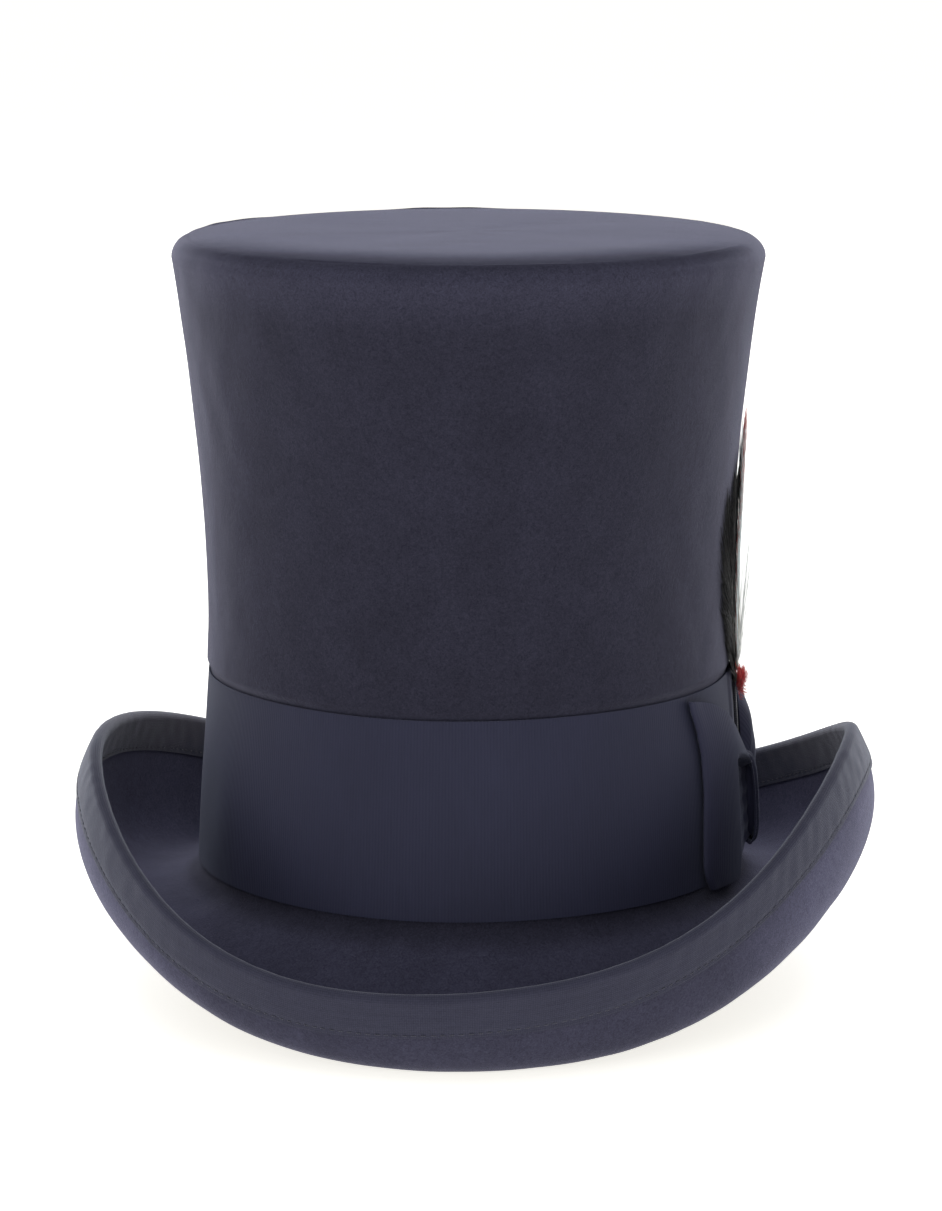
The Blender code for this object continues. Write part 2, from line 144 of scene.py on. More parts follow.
def oval(angle, offset, height):
    """Points from directions of the oval's parameter, offsets square to it, and heights."""
    across = np.cos(angle) / HEAD_HALF_WIDTH
    along = np.sin(angle) / HEAD_HALF_LENGTH
    size = np.hypot(across, along)
    x = HEAD_HALF_WIDTH * np.cos(angle) + across / size * offset
    y = HEAD_HALF_LENGTH * np.sin(angle) + along / size * offset
    return together(x, y, height)


def travel_along(angles):
    """Distance round the oval at each of many close directions, from the first one on."""
    speed = np.hypot(HEAD_HALF_WIDTH * np.sin(angles), HEAD_HALF_LENGTH * np.cos(angles))
    return np.concatenate([[0.0], np.cumsum((speed[1:] + speed[:-1]) / 2 * np.diff(angles))])


def travel_table(start):
    """Directions to both sides of one, with their distances from it round the oval."""
    angles = start + np.linspace(-1.7, 1.7, 1701)
    travel = travel_along(angles)
    return angles, travel - np.interp(start, angles, travel)


SIDE_ANGLES, SIDE_TRAVEL = travel_table(0.0)
BACK_ANGLES, BACK_TRAVEL = travel_table(BACK)


def side_angle(distance):
    """Direction at a distance round the oval from the middle of the left side."""
    return np.interp(distance, SIDE_TRAVEL, SIDE_ANGLES)


def turns(count):
    return 2.0 * pi * np.arange(count) / count


def ring_length(offset=0.0):
    a, b = HEAD_HALF_WIDTH, HEAD_HALF_LENGTH
    return pi * (3 * (a + b) - np.sqrt((3 * a + b) * (a + 3 * b))) + 2 * pi * offset


def ring_travel(angles):
    """Distance round the oval at each direction, from +X on."""
    fine = np.linspace(0.0, 2.0 * pi, 4001)
    return np.interp(angles, fine, travel_along(fine))


def ring_run(angles):
    """Distance round the oval at each direction of a full ring, and where it closes."""
    return np.append(ring_travel(angles), ring_length())


def evenly(count):
    """Shares from 0 to 1."""
    return np.linspace(0.0, 1.0, count)


def smooth(value):
    value = np.clip(value, 0.0, 1.0)
    return value * value * (3.0 - 2.0 * value)


def blend(low, high, share):
    return low + (high - low) * share


def lengths_along(points):
    """Distance along lines of points, the points on the last axis but one."""
    steps = np.linalg.norm(np.diff(points, axis=-2), axis=-1)
    return np.concatenate([np.zeros((*steps.shape[:-1], 1)), np.cumsum(steps, axis=-1)], axis=-1)


def unit(vectors):
    return vectors / np.maximum(np.linalg.norm(vectors, axis=-1, keepdims=True), 1e-12)


def together(*grids):
    """Grids of one shape, spread out to fit each other, stacked as coordinates."""
    return np.stack(np.broadcast_arrays(*grids), axis=-1)


class Ripple:
    """A smooth wander over an angle and a height, the same every run.

    low and high are the fewest and the most whole waves that fit round the oval.
    """

    def __init__(self, seed, waves, low, high):
        draw = np.random.RandomState(seed)
        self.turn = draw.uniform(0, 2 * pi, waves)
        self.across = draw.randint(low, high + 1, waves)
        self.up = draw.uniform(-1.0, 1.0, waves)
        self.size = draw.uniform(0.4, 1.0, waves)
        self.size /= np.sqrt((self.size ** 2).sum())

    def __call__(self, angle, height, per_metre=60.0):
        total = 0.0
        for turn, across, up, size in zip(self.turn, self.across, self.up, self.size):
            total = total + size * np.cos(across * angle + up * per_metre * height + turn)
        return total


# ---------------------------------------------------------------- meshes

def quads(first, second, wrap_first=False, wrap_second=False):
    """Quads of a grid of points, with each corner's place in a grid that doesn't wrap."""
    rows = first if wrap_first else first - 1
    columns = second if wrap_second else second - 1
    i, j = np.meshgrid(np.arange(rows), np.arange(columns), indexing="ij")
    corners = [(i, j), (i + 1, j), (i + 1, j + 1), (i, j + 1)]
    points = together(*((a % first) * second + b % second for a, b in corners))
    places = together(*(a * (second + 1) + b for a, b in corners))
    return points.reshape(-1, 4), places.reshape(-1, 4)


def end_discs(stations, count):
    """Faces that close a grid wound round an axis, at its first and its last points."""
    first = [k * count for k in range(stations)]
    return [first, [corner + count - 1 for corner in reversed(first)]]


def make_piece(name, points, faces, finish, lays=None, sharp=None, recalculate=True):
    """A mesh object; lays gives every face corner its place on the cloth, in metres."""
    mesh = bpy.data.meshes.new(name)
    mesh.from_pydata(np.asarray(points, float).tolist(), [], [list(map(int, f)) for f in faces])
    if lays is not None:
        attribute = mesh.attributes.new("lay", "FLOAT_VECTOR", "CORNER")
        attribute.data.foreach_set("vector", np.asarray(lays, np.float32).ravel())
    if recalculate:
        bm = bmesh.new()
        bm.from_mesh(mesh)
        bmesh.ops.recalc_face_normals(bm, faces=bm.faces)
        bm.to_mesh(mesh)
        bm.free()
    mesh.shade_smooth()
    if sharp is not None:
        mesh.set_sharp_from_angle(angle=radians(sharp))
    mesh.materials.append(finish)
    made = bpy.data.objects.new(name, mesh)
    bpy.context.scene.collection.objects.link(made)
    return made


def grid_normals(grid, wrap_first):
    """Unit normals of a grid of points, which may close on itself along its first axis."""
    def slope(axis, wrap):
        if wrap:
            return np.roll(grid, -1, axis) - np.roll(grid, 1, axis)
        return np.gradient(grid, axis=axis)

    return unit(np.cross(slope(0, wrap_first), slope(1, False)))


def tube(name, loops, lay, finish, ring=True, sharp=None):
    """Closed sections, shaped (stations, points, 3), joined along their length.

    lay is shaped (stations + 1, points + 1, 3): the place on the cloth of each grid corner.
    """
    stations, count = loops.shape[:2]
    faces, places = quads(stations, count, wrap_first=ring, wrap_second=True)
    corner_lays = lay.reshape(-1, 3)[places].reshape(-1, 3)
    faces = faces.tolist()
    if not ring:
        faces.append(list(range(count)))
        faces.append([(stations - 1) * count + k for k in reversed(range(count))])
        ends = np.concatenate([lay[0, :count], lay[stations - 1, :count][::-1]])
        corner_lays = np.concatenate([corner_lays, ends])
    return make_piece(name, loops.reshape(-1, 3), faces, finish, corner_lays, sharp)


def tube_lay(along, section):
    """Grid of places from the distance along each station and round each section."""
    return together(np.asarray(along, float)[:, None], np.asarray(section, float)[None, :], 0.0)


def shell(name, grid, along, across, thickness, finish, ring=False, rib=None):
    """Cloth with two faces and closed edges, from the grid of its middle surface.

    rib gives the raised part of both faces at each station, for ribbed ribbon.
    """
    stations, count = grid.shape[:2]
    lift = np.full((stations, count, 1), thickness / 2)
    if rib is not None:
        lift = lift + rib.reshape(stations, -1, 1)
    normal = grid_normals(grid, wrap_first=ring)
    loops = np.concatenate([grid + normal * lift, (grid - normal * lift)[:, ::-1]], axis=1)
    along = np.asarray(along, float)
    if len(along) == stations:
        along = np.append(along, 2 * along[-1] - along[-2])
    section = np.concatenate([across, across[::-1], across[:1]])
    lay = tube_lay(along, section)
    lay[:, count:, 2] = 1.0
    return tube(name, loops, lay, finish, ring=ring, sharp=CLOTH_EDGE)


def rods(name, paths, radii, finish, sides=6, lays=None, flat=1.0, up=None):
    """Many thin rods in one piece. paths is (rods, points, 3) and radii (rods, points)."""
    number, count = paths.shape[:2]
    way = unit(np.gradient(paths, axis=1))
    if up is None:
        up = np.broadcast_to(np.array([0.31, 0.17, 0.93]), paths.shape)
    left = unit(np.cross(way, up))
    top = np.cross(left, way)
    turn = turns(sides)
    rings = paths[:, :, None, :] + radii[:, :, None, None] * (
        np.cos(turn)[None, None, :, None] * left[:, :, None, :]
        + flat * np.sin(turn)[None, None, :, None] * top[:, :, None, :]
    )
    faces, _ = quads(count, sides, wrap_second=True)
    sheets = (faces[None] + (np.arange(number) * count * sides)[:, None, None]).reshape(-1, 4)
    first = np.arange(number)[:, None] * count * sides + np.arange(sides)[None, :]
    last = first + (count - 1) * sides
    every = sheets.tolist() + first.tolist() + last[:, ::-1].tolist()
    values = None
    if lays is not None:
        spread = np.repeat(lays[:, :, None, :], sides, axis=2).reshape(-1, 3)
        values = spread[np.concatenate([sheets.ravel(), first.ravel(), last[:, ::-1].ravel()])]
    return make_piece(name, rings.reshape(-1, 3), every, finish, values)


def declare(piece, body, node=None):
    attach(piece, body)
    if node is not None:
        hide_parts(node)


# ---------------------------------------------------------------- finishes

class Finish:
    """A node material, built up from small named steps."""

    def __init__(self, name, roughness=0.8, metallic=0.0, **constants):
        self.material = bpy.data.materials.new(name)
        self.material.use_nodes = True
        self.tree = self.material.node_tree
        self.shader = self.tree.nodes["Principled BSDF"]
        self.shader.inputs["Roughness"].default_value = roughness
        self.shader.inputs["Metallic"].default_value = metallic
        for socket, value in constants.items():
            self.shader.inputs[socket.replace("_", " ")].default_value = value

    def feed(self, socket, value):
        if isinstance(value, bpy.types.NodeSocket):
            self.tree.links.new(value, socket)
        else:
            socket.default_value = value

    def node(self, kind, inputs, **settings):
        made = self.tree.nodes.new("ShaderNode" + kind)
        for key, value in settings.items():
            setattr(made, key, value)
        for socket, value in inputs.items():
            self.feed(made.inputs[socket], value)
        return made

    def spot(self):
        return self.node("TexCoord", {}).outputs["Object"]

    def lay(self):
        return self.node("Attribute", {}, attribute_name="lay").outputs["Vector"]

    def scaled(self, vector, factors):
        return self.node("VectorMath", {0: vector, 1: factors}, operation="MULTIPLY").outputs[0]

    def part(self, vector, axis):
        return self.node("SeparateXYZ", {0: vector}).outputs[axis]

    def noise(self, vector, scale, detail=3.0, roughness=0.5, distortion=0.0):
        inputs = {"Vector": vector, "Scale": scale, "Detail": detail}
        inputs.update({"Roughness": roughness, "Distortion": distortion})
        return self.node("TexNoise", inputs).outputs["Fac"]

    def cells(self, vector, scale, feature="F1"):
        inputs = {"Vector": vector, "Scale": scale}
        return self.node("TexVoronoi", inputs, feature=feature).outputs["Distance"]

    def math(self, operation, first, second=0.0):
        return self.node("Math", {0: first, 1: second}, operation=operation).outputs[0]

    def times(self, first, second):
        return self.math("MULTIPLY", first, second)

    def plus(self, first, second):
        return self.math("ADD", first, second)

    def wave(self, value, pitch):
        return self.math("SINE", self.times(value, 2 * pi / pitch))

    def ridges(self, value, pitch):
        """Rounded ridges, one per pitch, with sharp valleys."""
        return self.math("ABSOLUTE", self.math("SINE", self.times(value, pi / pitch)))

    def spread(self, value, low, high, to_low=0.0, to_high=1.0):
        inputs = {"Value": value, "From Min": low, "From Max": high}
        inputs.update({"To Min": to_low, "To Max": to_high})
        return self.node("MapRange", inputs).outputs["Result"]

    def mix(self, share, first, second, mode="MIX"):
        made = self.node("Mix", {}, data_type="RGBA", blend_type=mode)
        self.feed(made.inputs[0], share)
        self.feed(made.inputs[6], first)
        self.feed(made.inputs[7], second)
        return made.outputs[2]

    def shaded(self, colour, shade):
        """A colour made darker or paler by a value."""
        grey = self.node("CombineColor", {0: shade, 1: shade, 2: shade}).outputs[0]
        return self.mix(1.0, colour, grey, "MULTIPLY")

    def ramp(self, value, stops):
        made = self.node("ValToRGB", {0: value})
        elements = made.color_ramp.elements
        while len(elements) < len(stops):
            elements.new(0.5)
        for element, (position, colour) in zip(elements, stops):
            element.position = position
            element.color = (*colour, 1.0)
        return made.outputs["Color"]

    def bump(self, height, distance, strength=1.0, after=None):
        inputs = {"Height": height, "Distance": distance, "Strength": strength}
        if after is not None:
            inputs["Normal"] = after
        return self.node("Bump", inputs).outputs["Normal"]

    def done(self, colour, normal=None, roughness=None):
        self.feed(self.shader.inputs["Base Color"], colour)
        if normal is not None:
            self.feed(self.shader.inputs["Normal"], normal)
        if roughness is not None:
            self.feed(self.shader.inputs["Roughness"], roughness)
        return self.material


def rgb(red, green, blue):
    return (red, green, blue, 1.0)


def felt_finish(name, deep, pale):
    """Wool felt: matted fine fibres and soft mottling.

    It is brushed up into streaks on the tip, and the nap lies forward along the front of the tip.
    The tip's paler streaks are part brushed nap, part painted light. Painted light also makes the
    top of the crown and the brim paler, the brim most at its sides, and painted shade darkens the
    front of the tip, where the streaks fade out.
    """
    f = Finish(
        name, roughness=0.95, Sheen_Weight=0.36, Sheen_Roughness=0.36,
        Sheen_Tint=(0.76, 0.76, 0.98, 1.0), Specular_IOR_Level=0.10,
    )
    spot = f.spot()
    region = f.part(f.lay(), 2)
    grain = f.noise(spot, 1900.0, 5.0, 0.68)
    strands = f.noise(spot, 620.0, 6.0, 0.70, 1.2)
    mottle = f.noise(spot, 55.0, 4.0, 0.55)
    nap_height = f.plus(f.times(grain, 0.55), f.times(strands, 0.45))
    colour = f.mix(f.spread(nap_height, 0.34, 0.68), rgb(*deep), rgb(*pale))
    colour = f.shaded(colour, f.spread(mottle, 0.25, 0.75, 0.88, 1.12))
    on_tip = f.math("MAXIMUM", region, 0.0)
    on_brim = f.math("MAXIMUM", f.times(region, -1.0), 0.0)
    across, along, high = (f.part(spot, axis) for axis in range(3))
    aside = f.math("DIVIDE", across, TIP_HALF_WIDTH)
    ahead = f.math("DIVIDE", along, TIP_HALF_LENGTH)
    reach = f.plus(f.times(aside, aside), f.times(ahead, ahead))
    # Painted shade: forward marks the front of the tip near its edge, where the colour is painted darker
    # and the streaks fade out.
    forward = f.times(f.spread(reach, 0.45, 0.98), f.spread(along, -0.080, -0.020, 1.0, 0.0))
    forward = f.times(forward, f.spread(high, 0.2395, 0.2420))
    # Painted light: the brim, above and below, is painted paler, most at its sides.
    brim_painted_light = f.spread(f.math("ABSOLUTE", across), 0.080, 0.112, 0.75, 2.2)
    lift = f.plus(f.times(on_brim, brim_painted_light), 1.0)
    lift = f.times(lift, f.spread(forward, 0.0, 1.0, 1.0, 0.80))
    # Painted light: the top of the crown and the whole tip are painted paler.
    lift = f.times(lift, f.spread(high, 0.222, 0.236, 1.0, 1.5))
    colour = f.shaded(colour, lift)
    # The tip's paler streaks are brushed nap and painted light together.
    brushed = f.noise(f.scaled(spot, (26.0, 330.0, 30.0)), 1.0, 5.0, 0.6, 0.5)
    streaks_and_painted_light = f.times(on_tip, f.spread(brushed, 0.34, 0.74))
    streaks_and_painted_light = f.times(streaks_and_painted_light, f.spread(forward, 0.0, 1.0, 0.52, 0.0))
    colour = f.mix(streaks_and_painted_light, colour, rgb(0.066, 0.070, 0.121))
    normal = f.bump(mottle, 0.0012, 0.25)
    normal = f.bump(nap_height, 0.00034, 0.75, normal)
    lean = f.node("CombineXYZ", {"Y": f.times(forward, -0.38)}).outputs[0]
    normal = f.node("VectorMath", {0: normal, 1: lean}, operation="ADD").outputs[0]
    normal = f.node("VectorMath", {0: normal}, operation="NORMALIZE").outputs[0]
    return f.done(colour, normal, f.spread(grain, 0.2, 0.8, 0.86, 1.0))


def ribbon_finish(name, deep, pale):
    """Grosgrain: rounded ribs of bundled weft, with the fine warp seen across each rib, and painted
    shade in the valleys between the ribs.
    """
    f = Finish(
        name, roughness=0.72, Sheen_Weight=0.26, Sheen_Roughness=0.30,
        Sheen_Tint=(0.75, 0.80, 1.0, 1.0), Specular_IOR_Level=0.28,
    )
    lay = f.lay()
    ridge = f.ridges(f.part(lay, 0), RIB_PITCH)
    warp = f.ridges(f.part(lay, 1), 0.00038)
    uneven = f.noise(f.scaled(lay, (900.0, 70.0, 1.0)), 1.0, 3.0)
    broad = f.noise(f.scaled(lay, (25.0, 25.0, 1.0)), 1.0, 3.0)
    height = f.plus(ridge, f.times(warp, 0.16))
    height = f.plus(height, f.times(uneven, 0.4))
    # Painted shade: the valleys between the ribs are darker; the yarns' uneven tone is their own.
    tone = f.times(f.spread(ridge, 0.0, 0.75, 0.93, 1.0), f.spread(uneven, 0.2, 0.8, 0.86, 1.06))
    colour = f.mix(tone, rgb(*deep), rgb(*pale))
    colour = f.mix(f.spread(broad, 0.3, 0.7, 0.0, 0.22), colour, rgb(*deep))
    normal = f.bump(height, 0.00007, 0.40)
    rough = f.spread(ridge, 0.0, 1.0, 0.84, 0.72)
    return f.done(colour, normal, rough)


def binding_finish(name, deep, pale):
    """Soft bias-woven binding with a short nap, a little paler than the felt."""
    f = Finish(
        name, roughness=0.85, Sheen_Weight=0.45, Sheen_Roughness=0.40,
        Sheen_Tint=(0.82, 0.85, 0.95, 1.0), Specular_IOR_Level=0.18,
    )
    spot = f.spot()
    lay = f.lay()
    weave = f.ridges(f.part(lay, 0), 0.0006)
    cross = f.ridges(f.part(lay, 1), 0.0006)
    grain = f.noise(spot, 1700.0, 4.0, 0.65)
    drag = f.noise(f.scaled(lay, (60.0, 900.0, 1.0)), 1.0, 4.0, 0.6)
    height = f.plus(f.times(f.times(weave, cross), 0.4), grain)
    height = f.plus(height, f.times(drag, 0.5))
    colour = f.mix(f.spread(height, 0.45, 1.25), rgb(*deep), rgb(*pale))
    # Painted light: the binding on the far part of each side curl, towards the back and up high, is
    # painted paler.
    far_curl_painted_light = f.times(f.spread(f.part(spot, 1), -0.01, 0.03), f.spread(f.part(spot, 2), 0.050, 0.070))
    colour = f.mix(f.times(far_curl_painted_light, 0.8), colour, rgb(0.135, 0.125, 0.145))
    normal = f.bump(height, 0.00022, 0.6)
    return f.done(colour, normal, f.spread(grain, 0.2, 0.8, 0.78, 0.98))


def leather_finish(name):
    """Smooth leather with pores and fine creases."""
    f = Finish(name, roughness=0.5, Specular_IOR_Level=0.45, Coat_Weight=0.05)
    spot = f.spot()
    pores = f.cells(spot, 1500.0)
    creases = f.cells(f.scaled(spot, (1.0, 1.0, 0.6)), 620.0, "SMOOTH_F1")
    tone = f.noise(spot, 60.0, 5.0, 0.6)
    stops = [(0.3, (0.020, 0.015, 0.013)), (0.55, (0.034, 0.026, 0.023)), (0.8, (0.052, 0.040, 0.034))]
    colour = f.ramp(tone, stops)
    height = f.plus(f.times(pores, 0.35), creases)
    normal = f.bump(height, 0.00025, 0.6)
    return f.done(colour, normal, f.spread(tone, 0.3, 0.7, 0.42, 0.6))


def satin_finish(name, deep, pale):
    f = Finish(
        name, roughness=0.34, Specular_IOR_Level=0.55, Anisotropic=0.5,
        Sheen_Weight=0.15, Sheen_Roughness=0.3,
    )
    lay = f.lay()
    floats = f.noise(f.scaled(lay, (3300.0, 260.0, 1.0)), 1.0, 3.0, 0.6)
    broad = f.noise(f.scaled(lay, (22.0, 22.0, 1.0)), 1.0, 3.0)
    colour = f.mix(f.spread(floats, 0.3, 0.7), rgb(*deep), rgb(*pale))
    colour = f.mix(f.spread(broad, 0.35, 0.7, 0.0, 0.3), colour, rgb(*deep))
    normal = f.bump(floats, 0.00008, 0.5, f.bump(broad, 0.0015, 0.2))
    return f.done(colour, normal, f.spread(floats, 0.2, 0.8, 0.26, 0.44))


def thread_finish(name, deep, pale):
    """Twisted sewing thread, its plies running aslant."""
    f = Finish(name, roughness=0.6, Sheen_Weight=0.2, Specular_IOR_Level=0.3)
    spot = f.spot()
    slant = f.wave(f.plus(f.part(spot, 0), f.part(spot, 2)), 0.0005)
    lint = f.noise(spot, 2600.0, 3.0)
    height = f.plus(slant, f.times(lint, 0.6))
    colour = f.mix(f.spread(height, -0.8, 1.3), rgb(*deep), rgb(*pale))
    return f.done(colour, f.bump(height, 0.00008, 0.5))


def metal_finish(name, dull, bright, wear):
    f = Finish(name, roughness=0.35, metallic=1.0)
    spot = f.spot()
    drawn = f.noise(f.scaled(spot, (400.0, 400.0, 3000.0)), 1.0, 4.0, 0.6)
    stain = f.noise(spot, 130.0, 4.0, 0.6)
    colour = f.mix(f.spread(drawn, 0.3, 0.7), rgb(*dull), rgb(*bright))
    colour = f.mix(f.spread(stain, 0.55, 0.75, 0.0, 0.5), colour, rgb(*wear))
    return f.done(colour, f.bump(drawn, 0.00005, 0.4), f.spread(stain, 0.3, 0.75, 0.25, 0.6))


def reed_finish(name):
    f = Finish(name, roughness=0.45, Specular_IOR_Level=0.4)
    spot = f.spot()
    tone = f.noise(spot, 300.0, 4.0)
    colour = f.mix(f.spread(tone, 0.3, 0.7), rgb(0.42, 0.38, 0.30), rgb(0.60, 0.56, 0.48))
    return f.done(colour, f.bump(tone, 0.00008, 0.4), f.spread(tone, 0.3, 0.7, 0.36, 0.55))


def tag_finish(name):
    f = Finish(name, roughness=0.85, Sheen_Weight=0.2)
    lay = f.lay()
    weave = f.times(f.wave(f.part(lay, 0), 0.0005), f.wave(f.part(lay, 1), 0.0005))
    dirt = f.noise(f.spot(), 200.0, 4.0)
    colour = f.mix(f.spread(weave, -1.0, 1.0), rgb(0.60, 0.59, 0.54), rgb(0.82, 0.81, 0.76))
    colour = f.mix(f.spread(dirt, 0.4, 0.75, 0.0, 0.3), colour, rgb(0.50, 0.47, 0.40))
    return f.done(colour, f.bump(weave, 0.00006, 0.5))


def barb_finish(name, along_barb, along_feather, bands=0.0, sheen=0.3, specular=0.35):
    """A feather's barbs: colour runs out along each barb and up the feather."""
    f = Finish(name, roughness=0.62, Sheen_Weight=sheen, Sheen_Roughness=0.4,
               Specular_IOR_Level=specular)
    lay = f.lay()
    out, up, own = (f.part(lay, axis) for axis in range(3))
    wavy = f.plus(up, f.times(f.math("SUBTRACT", own, 0.5), 0.08))
    colour = f.mix(0.5, f.ramp(out, along_barb), f.ramp(wavy, along_feather))
    if bands:
        stripe = f.spread(f.wave(wavy, 1.0 / bands), 0.35, 0.75, 0.0, 0.55)
        colour = f.mix(stripe, colour, rgb(0.006, 0.006, 0.008))
    tone = f.spread(own, 0.0, 1.0, 0.78, 1.15)
    colour = f.shaded(colour, tone)
    fine = f.math("SINE", f.times(out, 260.0))
    return f.done(colour, f.bump(fine, 0.00004, 0.35), f.spread(own, 0.0, 1.0, 0.5, 0.75))


FELT_FINISH = felt_finish("navy_felt_nap", (0.0146, 0.0144, 0.0252), (0.0408, 0.0402, 0.0640))
BINDING_FINISH = binding_finish("navy_binding_cloth", (0.0205, 0.0207, 0.0370), (0.0520, 0.0525, 0.0860))
# The band and the bow are one grosgrain in two tones, each set to how light its part looks under these
# lamps: the difference is painted light and shade.
BAND_FINISH = ribbon_finish("navy_grosgrain", (0.0088, 0.0092, 0.0205), (0.0265, 0.0280, 0.0590))
BOW_FINISH = ribbon_finish("navy_grosgrain_bow", (0.0112, 0.0115, 0.0240), (0.0350, 0.0362, 0.0710))
LEATHER_FINISH = leather_finish("sweatband_leather")
SATIN_FINISH = satin_finish("navy_lining_satin", (0.010, 0.012, 0.032), (0.045, 0.050, 0.105))
PATCH_FINISH = satin_finish("patch_lining_satin", (0.035, 0.037, 0.070), (0.085, 0.088, 0.140))
NAVY_THREAD = thread_finish("navy_thread", (0.024, 0.025, 0.040), (0.068, 0.070, 0.105))
PALE_THREAD = thread_finish("tan_thread", (0.16, 0.12, 0.08), (0.34, 0.28, 0.20))
BLACK_THREAD = thread_finish("black_binding_thread", (0.020, 0.021, 0.032), (0.085, 0.088, 0.118))
STEEL_FINISH = metal_finish(
    "drawn_spring_steel", (0.38, 0.38, 0.40), (0.66, 0.66, 0.68), (0.22, 0.17, 0.13)
)
BRASS_FINISH = metal_finish("crimped_brass", (0.50, 0.36, 0.16), (0.80, 0.62, 0.32), (0.25, 0.16, 0.08))
REED_FINISH = reed_finish("reed_plastic_mottled")
TAG_FINISH = tag_finish("woven_tag")
BLACK_BARBS = barb_finish(
    "black_barbs",
    [(0.0, (0.006, 0.006, 0.007)), (0.7, (0.009, 0.009, 0.010)), (1.0, (0.022, 0.023, 0.025))],
    [(0.0, (0.012, 0.012, 0.013)), (0.4, (0.006, 0.006, 0.007)), (1.0, (0.010, 0.010, 0.011))],
    bands=9.0, sheen=0.02, specular=0.08,
)
PALE_BARBS = barb_finish(
    "pale_barbs",
    [(0.0, (0.76, 0.88, 0.90)), (0.5, (0.86, 0.94, 0.95)), (1.0, (0.95, 0.97, 0.97))],
    [(0.0, (0.92, 0.94, 0.94)), (0.5, (0.74, 0.90, 0.93)), (1.0, (0.90, 0.96, 0.97))],
)
RED_BARBS = barb_finish(
    "red_barbs",
    [(0.0, (0.34, 0.012, 0.018)), (0.6, (0.55, 0.030, 0.035)), (1.0, (0.72, 0.10, 0.10))],
    [(0.0, (0.60, 0.10, 0.10)), (0.4, (0.46, 0.015, 0.022)), (1.0, (0.62, 0.05, 0.05))],
)
RED_DOWN = barb_finish(
    "red_down_strands",
    [(0.0, (0.50, 0.012, 0.016)), (0.6, (0.72, 0.035, 0.040)), (1.0, (0.85, 0.16, 0.16))],
    [(0.0, (0.60, 0.02, 0.02)), (1.0, (0.75, 0.06, 0.06))],
)
WHITE_BARBS = barb_finish(
    "white_stripped_barbs",
    [(0.0, (0.80, 0.82, 0.80)), (1.0, (0.62, 0.66, 0.66))],
    [(0.0, (0.86, 0.86, 0.84)), (1.0, (0.70, 0.73, 0.74))],
)
QUILL_FINISH = barb_finish(
    "quill_horn",
    [(0.0, (0.30, 0.26, 0.20)), (1.0, (0.10, 0.09, 0.08))],
    [(0.0, (0.42, 0.38, 0.30)), (1.0, (0.06, 0.055, 0.05))],
)
DARK_QUILL_FINISH = barb_finish(
    "dark_quill_horn",
    [(0.0, (0.030, 0.026, 0.022)), (1.0, (0.014, 0.013, 0.012))],
    [(0.0, (0.040, 0.035, 0.028)), (1.0, (0.010, 0.009, 0.009))],
    sheen=0.05,
)


# ---------------------------------------------------------------- crown and brim

def wall(height):
    """Outside of the crown's felt: foot, the ribbon's seat, a small bulge, and the flare."""
    height = np.asarray(height, float)
    seat = blend(FOOT_OFFSET, BAND_SEAT, (height - FOOT_HEIGHT) / (BULGE_START - FOOT_HEIGHT))
    bulge = blend(BAND_SEAT, BULGE_OFFSET, smooth((height - BULGE_START) / (BULGE_END - BULGE_START)))
    settle = blend(BULGE_OFFSET, 0.0, smooth((height - BULGE_END) / (WAIST_HEIGHT - BULGE_END)))
    climb = np.clip((height - WAIST_HEIGHT) / (TIP_HEIGHT - WAIST_HEIGHT), 0.0, None)
    flare = FLARE * climb ** FLARE_POWER
    out = np.where(height <= BULGE_START, seat, np.where(height <= BULGE_END, bulge, settle))
    return out + flare


def brim_lines(angles):
    """Upper face of the brim at each direction, root to rim, and the run left to the rim."""
    angles = np.asarray(angles, float)
    side = np.abs(np.cos(angles))
    front = np.sin(angles) < 0.0
    rise = side ** np.where(front, RIM_RISE_POWER_FRONT, RIM_RISE_POWER_BACK)
    end_height = np.where(front, RIM_HEIGHT_FRONT, RIM_HEIGHT_BACK)
    end_reach = np.where(front, RIM_REACH_FRONT, RIM_REACH_BACK)
    twist = np.sin(2.0 * angles)
    turn = side ** 2
    slope = blend(ROOT_SLOPE_ENDS, ROOT_SLOPE_SIDES, turn)
    lean = blend(RIM_LEAN_ENDS, RIM_LEAN_SIDES, turn)
    lean = lean + RIM_LEAN_LEFT * np.cos(angles) + RIM_LEAN_TWIST * twist
    root_pull = blend(ROOT_PULL_ENDS, ROOT_PULL_SIDES, turn)
    rim_pull = blend(RIM_PULL_ENDS, RIM_PULL_SIDES, turn)
    rim_pull = rim_pull + RIM_PULL_LEFT * np.cos(angles) - RIM_PULL_TWIST * twist
    height = blend(end_height, RIM_HEIGHT_SIDES, rise) + RIM_LIFT_LEFT * np.cos(angles)
    height = height - RIM_TWIST * twist + RIM_WAVE * np.cos(3.0 * angles + RIM_WAVE_TURN)
    reach = blend(end_reach, RIM_REACH_SIDES, side ** REACH_POWER)
    reach = reach + RIM_REACH_LEFT * np.cos(angles) + RIM_REACH_TWIST * twist
    root = np.broadcast_to(np.array(BRIM_ROOT), (len(angles), 2))
    rim = together(reach, height)
    root_handle = root + root_pull[:, None] * together(np.cos(slope), np.sin(slope))
    rim_handle = rim - rim_pull[:, None] * together(np.cos(lean), np.sin(lean))
    share = evenly(141)[None, :, None]
    rest = 1.0 - share
    lines = rest ** 3 * root[:, None] + 3 * rest ** 2 * share * root_handle[:, None]
    lines = lines + 3 * rest * share ** 2 * rim_handle[:, None] + share ** 3 * rim[:, None]
    lengths = lengths_along(lines)
    return lines, lengths[:, -1:] - lengths


